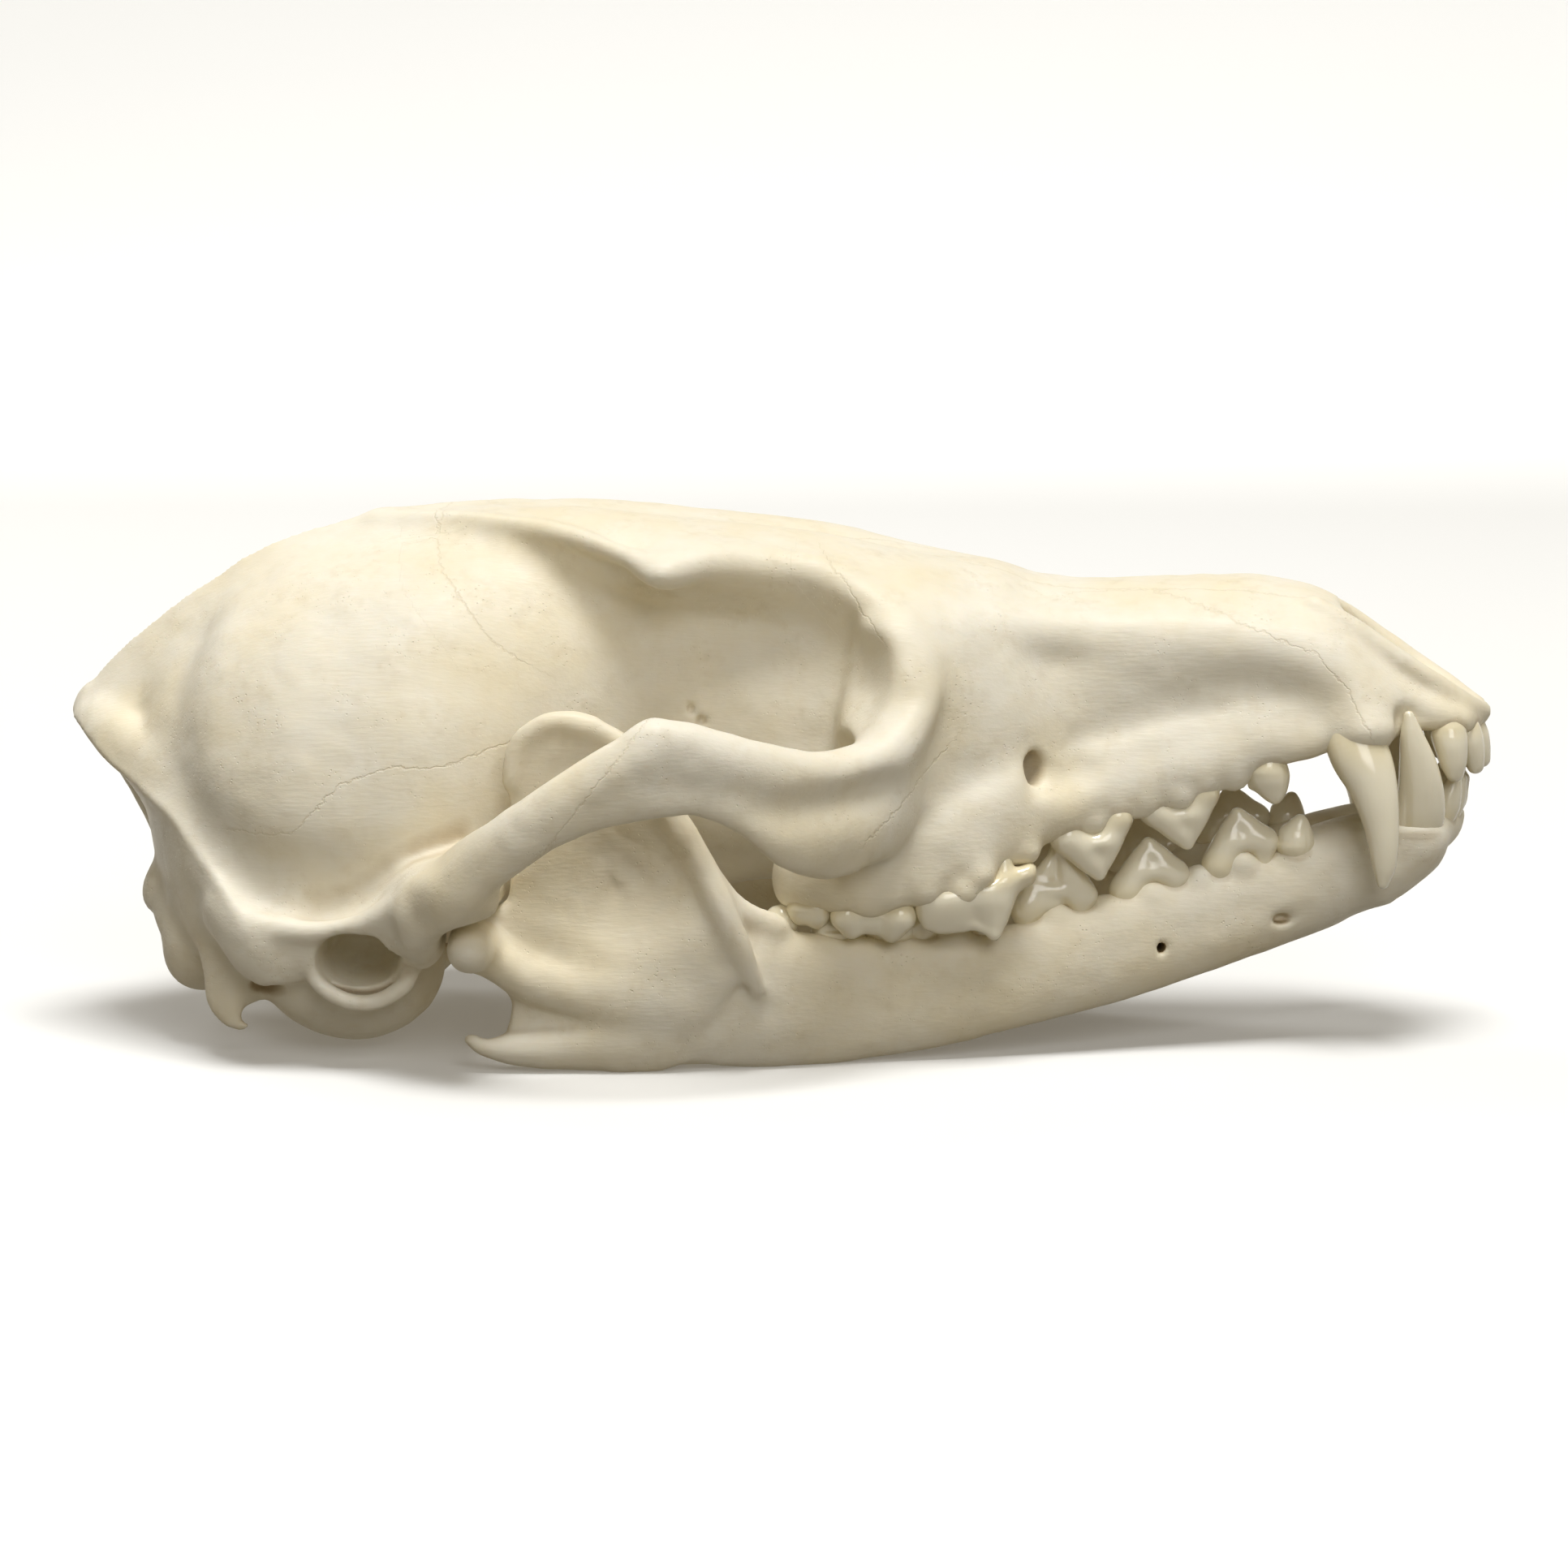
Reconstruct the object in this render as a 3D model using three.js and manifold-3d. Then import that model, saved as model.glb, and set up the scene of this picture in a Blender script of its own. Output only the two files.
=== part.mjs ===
// Skull of an adult red fox at life size, in millimetres: the cranium and both halves of the lower
// jaw with the mouth closed, standing on the lower jaw.
// +X points to the snout, +Y to the animal's left, +Z up. The origin is under the middle, on the
// surface that the jaw stands on.
import * as THREE from "three";
import { mergeVertices } from "three/addons/utils/BufferGeometryUtils.js";
import Module from "manifold-3d";

const wasm = await Module();
wasm.setup();

// Driving sizes
const SEAM = 0.3; // gap that neighbouring pieces keep
const HALF_LENGTH = 74; // from the middle to the nape point, and to the front of the incisors
const CROWN_TOP = 55.6; // top of the frontal bones over the standing surface
const ARCH_HALF = 39.2; // half the breadth over the cheekbone arches
const CASE_HALF = 24.4; // half the breadth of the braincase
const BONE_COLOUR = 0xe9e1cb;
const TOOTH_STEP = 1; // scale of every crown

// Smooth curve through rows of [position, size, size, ...], without overshoot between them.
function sizesAt(rows, at) {
  const last = rows.length - 1;
  let i = 0;
  while (i < last - 1 && at > rows[i + 1][0]) i += 1;
  const span = rows[i + 1][0] - rows[i][0];
  const t = THREE.MathUtils.clamp((at - rows[i][0]) / span, 0, 1);
  const rise = (k, c) => (rows[k + 1][c] - rows[k][c]) / (rows[k + 1][0] - rows[k][0]);
  const slope = (k, c) => {
    if (k === 0 || k === last) return rise(Math.min(k, last - 1), c);
    const before = rise(k - 1, c);
    const after = rise(k, c);
    return before * after > 0 ? (2 * before * after) / (before + after) : 0;
  };
  return rows[i].slice(1).map((start, n) => {
    const c = n + 1;
    const end = rows[i + 1][c];
    const m0 = slope(i, c) * span;
    const m1 = slope(i + 1, c) * span;
    return (
      start * (1 + 2 * t) * (1 - t) ** 2 +
      m0 * t * (1 - t) ** 2 +
      end * t * t * (3 - 2 * t) -
      m1 * t * t * (1 - t)
    );
  });
}

// Share of full size at a distance from a rounded end.
function roundedEnd(distance, cap) {
  return distance >= cap ? 1 : Math.sqrt(Math.max(0, 1 - (1 - distance / cap) ** 2));
}

const AXES = { x: ["x", "y", "z"], y: ["y", "x", "z"], z: ["z", "x", "y"] };

// A body along one axis. Each row is [position, low and high across, low, widest level and high].
// Sections are super-ellipses with one exponent over the widest level and one under it.
function loft({ axis = "x", rows, rings = 9, sides = 12, caps = [0, 0], over = 2, under = 2 }) {
  const [along, across, up] = AXES[axis];
  const start = rows[0][0];
  const end = rows.at(-1)[0];
  const points = [];
  const point = (a, b, c) => {
    const p = new THREE.Vector3();
    p[along] = a;
    p[across] = b;
    p[up] = c;
    points.push(p.x, p.y, p.z);
  };
  const middle = (s) => [(s[0] + s[1]) / 2, s[3]];
  point(start, ...middle(sizesAt(rows, start)));
  for (let k = 0; k < rings; k += 1) {
    const even = (k + (caps[0] ? 0.5 : 0)) / (rings - 1 + (caps[0] ? 0.5 : 0) + (caps[1] ? 0.5 : 0));
    const share = 0.55 * even + 0.45 * (1 - Math.cos(Math.PI * even)) * 0.5;
    const at = start + (end - start) * share;
    const [low, high, base, level, top] = sizesAt(rows, at);
    const size = roundedEnd(at - start, caps[0]) * roundedEnd(end - at, caps[1]);
    for (let j = 0; j < sides; j += 1) {
      const turn = (2 * Math.PI * j) / sides;
      const power = 2 / (Math.sin(turn) >= 0 ? over : under);
      const c = Math.sign(Math.cos(turn)) * Math.abs(Math.cos(turn)) ** power;
      const s = Math.sign(Math.sin(turn)) * Math.abs(Math.sin(turn)) ** power;
      const height = s >= 0 ? top - level : level - base;
      point(at, (low + high) / 2 + (size * c * (high - low)) / 2, level + size * s * height);
    }
  }
  point(end, ...middle(sizesAt(rows, end)));
  const faces = [];
  const lastPoint = 1 + rings * sides;
  const ring = (k, j) => 1 + k * sides + (j % sides);
  for (let j = 0; j < sides; j += 1) {
    faces.push(0, ring(0, j + 1), ring(0, j));
    for (let k = 0; k < rings - 1; k += 1) {
      faces.push(ring(k, j), ring(k, j + 1), ring(k + 1, j));
      faces.push(ring(k, j + 1), ring(k + 1, j + 1), ring(k + 1, j));
    }
    faces.push(lastPoint, ring(rings - 1, j), ring(rings - 1, j + 1));
  }
  const made = new THREE.BufferGeometry();
  made.setAttribute("position", new THREE.Float32BufferAttribute(points, 3));
  made.setIndex(faces);
  return axis === "y" ? turnedInsideOut(made) : made;
}

// Rows of [position, half breadth, low, widest level, high] for a body on the middle plane.
function central(rows) {
  return rows.map(([at, half, ...rest]) => [at, -half, half, ...rest]);
}

// Rows of [position, inner, outer, low, high] with the widest level half way up.
function level(rows) {
  return rows.map(([at, inner, outer, low, high]) => [at, inner, outer, low, (low + high) / 2, high]);
}

function turnedInsideOut(geometry) {
  const index = geometry.getIndex().array;
  for (let i = 0; i < index.length; i += 3) {
    [index[i + 1], index[i + 2]] = [index[i + 2], index[i + 1]];
  }
  return geometry;
}

function mirrored(geometry) {
  return turnedInsideOut(geometry.clone().scale(1, -1, 1));
}

function ball(centre, radii, tilt = 0, detail = 14) {
  const round = new THREE.SphereGeometry(1, detail, Math.round(detail * 0.6));
  return round.scale(...radii).rotateY(tilt).translate(...centre);
}

// The shared points and faces of a geometry, without its normals and texture places.
function welded(geometry) {
  const bare = geometry.clone();
  bare.deleteAttribute("normal");
  bare.deleteAttribute("uv");
  return mergeVertices(bare, 1e-4);
}

// Geometry to a solid that can be joined and cut.
function solidOf(geometry) {
  const merged = welded(geometry);
  const faces = [];
  const index = merged.getIndex().array;
  for (let i = 0; i < index.length; i += 3) {
    const [a, b, c] = [index[i], index[i + 1], index[i + 2]];
    if (a !== b && b !== c && a !== c) faces.push(a, b, c);
  }
  return new wasm.Manifold(
    new wasm.Mesh({
      numProp: 3,
      vertProperties: merged.getAttribute("position").array,
      triVerts: new Uint32Array(faces),
    }),
  );
}

function join(geometries) {
  return geometries.map(solidOf).reduce((whole, piece) => whole.add(piece));
}

function cut(solid, geometries) {
  return geometries.map(solidOf).reduce((whole, piece) => whole.subtract(piece), solid);
}

function bothSides(geometries) {
  return geometries.flatMap((g) => [g, mirrored(g)]);
}

function largest(solid) {
  return solid.decompose().sort((a, b) => b.volume() - a.volume())[0];
}

const block = (low, high) => {
  const size = high.map((v, i) => v - low[i]);
  const centre = high.map((v, i) => (v + low[i]) / 2);
  return welded(new THREE.BoxGeometry(...size).translate(...centre));
};

// Braincase
const braincase = loft({
  rows: central([
    [-68.5, 3, 24, 28, 33],
    [-66, 10.5, 18, 26, 38],
    [-62, 17.6, 13, 25, 43.2],
    [-56, 22.4, 10.5, 25, 48.2],
    [-48, CASE_HALF, 10, 26, 51.6],
    [-40, CASE_HALF, 11, 27, 53.2],
    [-32, 22.4, 13, 29, 54],
    [-25, 18.2, 15, 31, 54.4],
    [-19, 13.6, 17, 33, 54.2],
    [-14, 11.2, 18.5, 34, 53.4],
    [-6, 10.4, 19, 34, 52],
  ]),
  rings: 14,
  sides: 20,
  caps: [2, 0],
  over: 2.1,
  under: 2.3,
});

const lowerOcciput = loft({
  rows: central([
    [-67, 6, 14, 19, 25],
    [-64, 12, 10, 18, 28],
    [-60, 18.5, 9.5, 16.5, 28],
    [-55, 22.6, 9.5, 15.5, 27],
    [-50, 22.6, 10, 15.5, 25],
    [-46, 20, 11, 15.5, 22],
  ]),
  rings: 6,
  sides: 14,
  caps: [1.5, 3],
  over: 2.4,
  under: 2.6,
});

// The crest that runs from the nape point down to both mastoids, with its hollow sides.
const napeHood = loft({
  rows: central([
    [-HALF_LENGTH, 5, 26, 30.6, 34.6],
    [-70.5, 12, 20.4, 27.8, 39.4],
    [-66.5, 17, 16.4, 24.4, 42.8],
    [-62.5, 20.8, 13.4, 20.8, 45.6],
    [-58.5, 23.2, 11.4, 17.8, 47.6],
    [-55, 24.2, 10.4, 15.4, 47.4],
    [-51.4, 24.2, 10.2, 14, 42],
  ]),
  rings: 8,
  sides: 16,
  caps: [0.8, 1.2],
  over: 1.22,
  under: 1.8,
});

// What lies behind the rear face of the skull: nearly flat on top, turning forward to the sides
const NAPE_FACE = [
  [4, -62.4, 26],
  [12, -63.4, 25.6],
  [17, -64.4, 25],
  [22.4, -66, 25.4],
  [27.5, -69, 26.6],
  [30.2, -71.4, 28],
  [33, -HALF_LENGTH, 29],
  [37, -80, 31],
  [52, -84, 34],
];
const behindNape = solidOf(block([-90, -40, 4.4], [-50, 40, 51])).subtract(
  solidOf(
    loft({
      axis: "z",
      rows: NAPE_FACE.map(([z, rear, half]) => [z, rear, -100 - rear, -half, 0, half]),
      rings: 10,
      sides: 20,
      over: 2.3,
      under: 2.3,
    }),
  ),
);

const sagittalCrest = loft({
  rows: central([
    [-HALF_LENGTH, 2.4, 28, 31, 34],
    [-71.2, 4, 29, 33, 38.7],
    [-66.2, 5.4, 32, 37, 43.2],
    [-61, 6.2, 36, 41, 46.9],
    [-56, 6.4, 40, 45, 50.3],
    [-50.6, 6.4, 44, 48, 52.6],
    [-44.6, 6.4, 46, 50, 54],
    [-38, 5, 48, 51.6, 54.6],
  ]),
  rings: 8,
  sides: 8,
  caps: [0.6, 4],
  over: 1.15,
});

// Frontal bones, flat on top, widest at the points behind the orbits
const frontalRoof = loft({
  rows: central([
    [-42, 3.2, 48, 52, 54.2],
    [-34, 6.2, 47, 52, 54.9],
    [-28, 9, 46.5, 52, 55.4],
    [-21, 11.8, 46, 51.5, CROWN_TOP],
    [-15, 14.4, 45.5, 50.8, CROWN_TOP - 0.1],
    [-10, 16, 45, 50.2, 55.1],
    [-4, 14.9, 44, 49.8, 54.6],
    [2, 13.9, 42, 49, 54],
    [8, 14.6, 38, 48, 52.9],
    [14, 14.8, 34, 45, 51.7],
    [20, 13.2, 32, 42, 50.4],
    [28, 10, 32, 40, 48.4],
  ]),
  rings: 13,
  sides: 14,
  caps: [4, 5],
  over: 2.5,
  under: 2.2,
});

const postorbitalPoint = loft({
  axis: "y",
  rows: level([
    [8, -17, -1, 46.5, 54.4],
    [13, -14.8, -4.6, 47.6, 53.6],
    [16.4, -13.2, -7.6, 48.2, 51.9],
    [18.8, -11.8, -10.2, 48.8, 50],
  ]),
  rings: 4,
  sides: 6,
  caps: [0, 0.8],
});

// Walls between the orbits, down to the palate
const orbitCore = loft({
  rows: central([
    [-30, 9, 14, 30, 50],
    [-22, 8.8, 15.2, 32, 50],
    [-14, 8.6, 16, 34, 50],
    [-6, 9.4, 17, 34, 49],
    [2, 11.2, 17.5, 32, 48],
    [10, 13, 17.5, 28, 47],
    [18, 13.6, 18.5, 28, 46],
  ]),
  rings: 6,
  sides: 12,
  caps: [4, 0],
  over: 3,
  under: 2.4,
});

// Base of the skull from the hole for the spine to the pterygoids
const skullBase = loft({
  rows: central([
    [-61, 6.5, 7.6, 10, 14],
    [-56, 9, 8.2, 12, 18],
    [-46, 9.5, 9.4, 13, 20],
    [-36, 9.6, 11.4, 15, 22],
    [-26, 9, 13.4, 18, 26],
    [-16, 7.6, 15.6, 20, 26],
    [-8, 7.4, 17, 22, 28],
  ]),
  rings: 6,
  sides: 8,
  caps: [2, 2],
  under: 3,
});

const pterygoidPlate = loft({
  rows: level([
    [-21.5, 5.6, 7, 10.4, 14],
    [-19.6, 5.3, 7.1, 10.2, 19],
    [-15, 5.3, 7.3, 12.6, 23],
    [-8, 5.4, 7.9, 16.2, 24],
    [0, 5.6, 9.2, 17.6, 24],
    [8, 6, 10.5, 17.4, 23],
  ]),
  rings: 5,
  sides: 6,
  caps: [0.8, 0],
  over: 3,
  under: 2.2,
});

// Occipital condyle, the knob over it and the long process beside it
const condyle = ball([-60.2, 9.6, 10], [3.7, 3.7, 5], 0.3, 12);
const napeKnob = ball([-63.8, 5.8, 15.4], [2.6, 2.6, 2.5], 0, 10);
const paroccipital = loft({
  axis: "z",
  rows: level([
    [2.1, -56.3, -55.1, 16.6, 17.6],
    [4, -57.7, -55.2, 16.2, 18.4],
    [8, -58.8, -54.6, 15.4, 19.2],
    [13, -60.4, -52.6, 13.4, 21],
    [18, -61, -50, 12, 22],
  ]),
  rings: 5,
  sides: 6,
  caps: [0.8, 0],
});

// Temple bone: the root of the arch, over the jaw joint, with the stop behind it
const jointRoof = loft({
  axis: "y",
  rows: level([
    [15, -40, -25, 16, 24],
    [20, -38.8, -27.4, 16.6, 22],
    [26, -37.6, -27.6, 16.8, 21],
    [31, -36, -27, 16.8, 21.6],
    [35.6, -33.4, -26.8, 17.4, 22.4],
    [37.6, -31.4, -26.6, 19, 23],
  ]),
  rings: 5,
  sides: 8,
  caps: [0, 1.5],
});

const jointStop = loft({
  axis: "z",
  rows: level([
    [9.6, -35.6, -34.2, 21.6, 26],
    [12, -36.2, -33.9, 20.2, 28.4],
    [15, -37, -33.6, 19.4, 30.6],
    [19, -38.4, -32, 18.6, 32],
  ]),
  rings: 4,
  sides: 6,
  caps: [1, 0],
});

// Cheekbone arch, from the temple root to the upper jaw
const arch = loft({
  rows: level([
    [-38, 21, 29, 13.8, 18.8],
    [-34.6, 23.4, 31.8, 15, 21.4],
    [-31.5, 27.6, 35, 16.8, 24.6],
    [-28.6, 31.2, 37.2, 20, 27.2],
    [-26, 33.2, 38.2, 22.2, 29.2],
    [-23.5, 34.5, ARCH_HALF - 0.4, 24, 31],
    [-20.9, 35.3, ARCH_HALF, 25.7, 32.8],
    [-15.8, 35.6, ARCH_HALF, 27.7, 35.9],
    [-11.4, 35.2, ARCH_HALF - 0.2, 28.4, 37.7],
    [-8.6, 34.6, 38.5, 28.6, 37.2],
    [-5.7, 33.4, 37.6, 27.9, 36],
    [-3, 32, 36.7, 26.4, 35.1],
    [-1.2, 30.8, 35.9, 24.7, 34.5],
    [0.8, 29.2, 34.8, 22.9, 34],
    [4, 25.6, 32.6, 21.8, 33.5],
    [8, 20.6, 29.8, 21.9, 34],
    [11.5, 16.4, 26.8, 22.6, 35.6],
    [14, 14.4, 24, 24, 37],
  ]),
  rings: 15,
  sides: 9,
  caps: [0, 1],
  over: 2.4,
  under: 2.4,
});

// Shelf that carries the arch back over the ear
const earShelf = loft({
  rows: level([
    [-54, 14, 23.2, 9.6, 14.6],
    [-49, 15, 24.4, 10.4, 15.9],
    [-44, 16, 25.4, 11.6, 17],
    [-39, 17, 27.4, 12.6, 18.5],
    [-35, 18, 30.2, 13.8, 20.6],
    [-31, 20, 33.4, 16, 23.2],
  ]),
  rings: 6,
  sides: 8,
  caps: [3, 2],
});

// Upper jaw and snout
const snout = loft({
  rows: central([
    [6, 11, 17.6, 24, 49],
    [14, 15.2, 17.4, 25, 50.2],
    [20, 15.4, 18.8, 27.5, 49.9],
    [26, 14, 21.2, 31, 48.8],
    [32, 12.6, 23.8, 35, 48.1],
    [40, 11.5, 26.4, 38, 48.3],
    [48, 11, 29, 39, 48.5],
    [54, 10.9, 30.6, 38.4, 47.7],
    [58, 11, 31.7, 37.2, 46.1],
    [62, 10.3, 32.7, 36, 42.5],
    [66, 9, 33, 35.4, 39.5],
    [70, 7.7, 32.8, 34.4, 36.8],
    [72.6, 5.8, 32.1, 33.1, 34.2],
  ]),
  rings: 14,
  sides: 18,
  caps: [0, 1.6],
  over: 2.15,
  under: 4.4,
});

const cheek = loft({
  rows: [
    [4, 16, 27.6, 22, 30, 38],
    [6.6, 11, 27, 21.2, 31.8, 43.4],
    [9, 8, 26, 20.6, 33, 46],
    [13, 7, 23.2, 19, 33.6, 47.2],
    [18, 7, 20, 18.8, 32.6, 46.2],
    [23, 7, 17.2, 20.4, 32, 44.4],
    [29, 7, 14, 22.6, 32, 42],
  ],
  rings: 8,
  sides: 14,
  caps: [1, 4],
  over: 2.35,
  under: 2.3,
});

// Roll along the upper side of the snout, over the root of the canine
const snoutRoll = loft({
  rows: level([
    [32, 4, 11, 38.6, 45.6],
    [40, 4, 11.8, 38.4, 45.4],
    [48, 4, 11.8, 38, 45],
    [54, 4, 11.9, 36.4, 43.6],
    [59, 4, 11.9, 33, 40.6],
    [62, 4, 11, 32, 37],
  ]),
  rings: 6,
  sides: 8,
  caps: [4, 2],
});

const toothBearer = loft({
  rows: level([
    [-0.4, 12.8, 19, 16.4, 23],
    [4, 11.6, 21, 16, 25],
    [10, 11, 21.8, 15.8, 26.4],
    [16, 11.4, 21.4, 17, 28.6],
    [22, 11, 19.8, 19.2, 30.6],
    [28, 9.4, 17, 21.6, 32],
    [34, 8.2, 14.4, 24, 33],
  ]),
  rings: 7,
  sides: 8,
  caps: [2, 3],
  under: 3.2,
  over: 2.4,
});

const carnassialPit = ball([18.4, 13.6, 16.6], [6, 2.9, 4.4], 0, 10);
const canineNotch = ball([65.2, 10.4, 33.6], [2.6, 2.4, 4], 0.2, 9);

// Hollows of the cranium
const orbit = ball([-3.2, 30.4, 41.4], [15.6, 18.4, 11], -0.07, 20);
const noseHollow = loft({
  rows: central([
    [38, 3, 37, 40, 43],
    [46, 4.6, 35.8, 40, 45.4],
    [52, 5.3, 35.6, 40.6, 45.8],
    [57, 5.6, 35.8, 41, 45],
    [60, 5.8, 35.8, 42, 50],
    [66, 5.2, 35.9, 43, 52],
    [71.4, 4, 36.4, 43, 52],
  ]),
  rings: 6,
  sides: 8,
  caps: [3, 1.5],
  under: 2.4,
});
const choana = loft({
  rows: central([
    [-25, 2.5, 6, 9, 14],
    [-20, 4.2, 6, 14, 17.6],
    [-10, 4.4, 6, 16, 20.2],
    [0, 4.6, 8, 18, 22.4],
    [4, 4.2, 17.9, 20, 22.6],
    [10, 3.4, 18.6, 20.4, 22.8],
  ]),
  rings: 5,
  sides: 8,
  caps: [3, 2],
});
const palateVault = loft({
  rows: central([
    [-1, 9, 10, 16, 19.2],
    [8, 9.6, 10, 15.5, 18.6],
    [18, 9.6, 10, 17, 20.8],
    [28, 8, 14, 20.5, 24],
    [38, 6.6, 18, 24.6, 27.6],
    [50, 6, 22, 28.6, 31],
    [60, 5.6, 26, 31.6, 33.4],
    [67, 4, 30, 32.4, 33.4],
  ]),
  rings: 6,
  sides: 8,
  caps: [0, 3],
});
const spineHole = loft({
  rows: central([
    [-72, 7.8, 9, 13.2, 17.6],
    [-64, 7.4, 9.2, 13.4, 18],
    [-58, 7, 9.8, 13.8, 18.4],
    [-50, 6, 11.5, 15, 19],
  ]),
  rings: 4,
  sides: 8,
  caps: [0, 5],
});
const infraorbitalCanal = loft({
  rows: level([
    [1, 14.5, 19.5, 27.5, 33],
    [8, 14.4, 19.4, 27.6, 32.8],
    [16, 14, 18.4, 28, 32.6],
    [24, 13.2, 17.6, 27.8, 33],
    [30, 13.4, 20, 27, 34],
  ]),
  rings: 4,
  sides: 6,
  caps: [0, 2],
});
const jawJoint = loft({
  axis: "y",
  rows: level([
    [17.6, -33.4, -27.6, 10.8, 16.8],
    [24, -33.6, -27.5, 10.6, 17],
    [36, -33.4, -27.7, 10.8, 16.8],
  ]),
  rings: 4,
  sides: 8,
});

// Ear capsule with its round opening
const BULLA = { centre: [-44.6, 13.6, 8.6], radii: [9.9, 7.4, 8.1] };
const EAR = { x: -43, z: 11, halfLength: 5.7, halfHeight: 4.3, outer: 22.6 };
const grown = (radii, by) => radii.map((r) => r + by);

function earTube(by, start, end) {
  const row = (y, scale) => [
    y,
    EAR.x - EAR.halfLength * scale - by,
    EAR.x + EAR.halfLength * scale + by,
    EAR.z - EAR.halfHeight * scale - by,
    EAR.z + EAR.halfHeight * scale + by,
  ];
  return loft({ axis: "y", rows: level([row(start, 0.9), row((start + end) / 2, 0.93), row(end, 1)]), rings: 4, sides: 10 });
}
const earHole = loft({
  axis: "y",
  rows: level([
    [13.5, -45.4, -40.6, 9, 13],
    [18, -46.8, -39, 8.2, 13.8],
    [25, -47.4, -38.4, 7.8, 14.2],
  ]),
  rings: 4,
  sides: 8,
  caps: [2, 0],
});

const bullaLeft = cut(join([ball(BULLA.centre, BULLA.radii, 0.1, 16), earTube(0, 14, EAR.outer)]), [earHole]);

// Crowns. A crown is a loft along the height with its broad neck in the bone and a blunt tip.
// profile rows are [share of height, share of length, share of width, shift of the tip in mm].
const PROFILES = {
  blade: [
    [-0.5, 0.7, 0.75, 0],
    [0, 0.97, 0.95, 0],
    [0.3, 0.98, 1, 0],
    [0.52, 0.62, 0.82, 0.15],
    [0.8, 0.3, 0.5, 0.35],
    [1, 0.12, 0.16, 0.4],
  ],
  peg: [
    [-0.4, 0.8, 0.8, 0],
    [0, 0.92, 0.95, 0],
    [0.4, 1, 1, 0],
    [0.75, 0.8, 0.7, 0],
    [1, 0.35, 0.3, 0],
  ],
  table: [
    [-0.5, 0.8, 0.8, 0],
    [0, 0.95, 0.95, 0],
    [0.5, 1, 1, 0],
    [1, 0.72, 0.75, 0],
  ],
};

function crown({ at, size, profile, turn = 0, lean = 0, up = 1, forward = 1 }) {
  const [length, width, height] = size.map((s) => s * TOOTH_STEP);
  const rows = PROFILES[profile].map(([h, l, w, shift]) => [
    h * height,
    shift * forward - (l * length) / 2,
    shift * forward + (l * length) / 2,
    (-w * width) / 2,
    (w * width) / 2,
  ]);
  const made = loft({ axis: "z", rows: level(rows), rings: 4, sides: 6, caps: [0, 0.4] });
  if (up < 0) turnedInsideOut(made.scale(1, 1, -1));
  return made.rotateX(lean).rotateZ(turn).translate(...at);
}

// A curved canine: rows are [height, rear, front, inner, outer].
function canine(rows) {
  return loft({ axis: "z", rows: level(rows), rings: 6, sides: 6, caps: [0, 0], over: 2, under: 2 });
}

const upperCanine = canine([
  [16.9, 60.9, 62.1, 12.3, 13.1],
  [18.6, 59.9, 62.9, 11.4, 13.8],
  [22, 59, 63.5, 10.5, 14.3],
  [26, 57.9, 63.4, 9.5, 14.2],
  [30, 56.2, 62.8, 8.6, 13.6],
  [34, 54.8, 61.4, 7.6, 12.4],
  [37, 54.4, 59.4, 7, 10.8],
]);
const lowerCanine = canine([
  [14, 60, 66, 4.2, 7.6],
  [19, 61.6, 68, 4.6, 8.8],
  [23, 62.9, 68.9, 5.1, 9.3],
  [27, 63.6, 68.7, 5.8, 9.7],
  [31, 63.8, 67.2, 7.4, 10],
  [33.4, 63.9, 65.8, 8.6, 10],
  [34.4, 64.2, 65.2, 9, 9.7],
]);

const upperCrowns = [
  { at: [72.3, 1.7, 32.8], size: [3.4, 2.9, 4.6], profile: "peg" },
  { at: [71.3, 4.4, 33], size: [3.6, 3, 5], profile: "peg", turn: -0.35 },
  { at: [69.5, 6.5, 33.4], size: [4, 3.5, 5.8], profile: "peg", turn: -0.7 },
  { at: [50.2, 9.5, 29.9], size: [4.9, 3.2, 4.2], profile: "peg" },
  { at: [42.2, 10.4, 27], size: [8.6, 3.4, 6], profile: "blade", turn: -0.12 },
  { at: [33.1, 13, 23.8], size: [9, 3.6, 6.4], profile: "blade", turn: -0.2 },
  { at: [22.4, 18.2, 19.4], size: [9.4, 3.5, 7.2], profile: "blade", turn: -0.28 },
  { at: [18, 18.9, 18], size: [7.4, 3.4, 4.6], profile: "blade", turn: -0.2, forward: -1 },
  { at: [25.4, 14.6, 20.9], size: [4, 3.6, 3.4], profile: "peg" },
  { at: [12.4, 19.3, 16.4], size: [5, 4.4, 4.3], profile: "peg" },
  { at: [8, 19.4, 16.2], size: [4.8, 4.2, 3.6], profile: "peg" },
  { at: [10.4, 15.4, 16.4], size: [7.2, 8.6, 1.7], profile: "table" },
  { at: [3.9, 17.4, 16.6], size: [4.6, 6.6, 1.4], profile: "table" },
].map((t) => crown({ ...t, up: -1 }));

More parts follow.
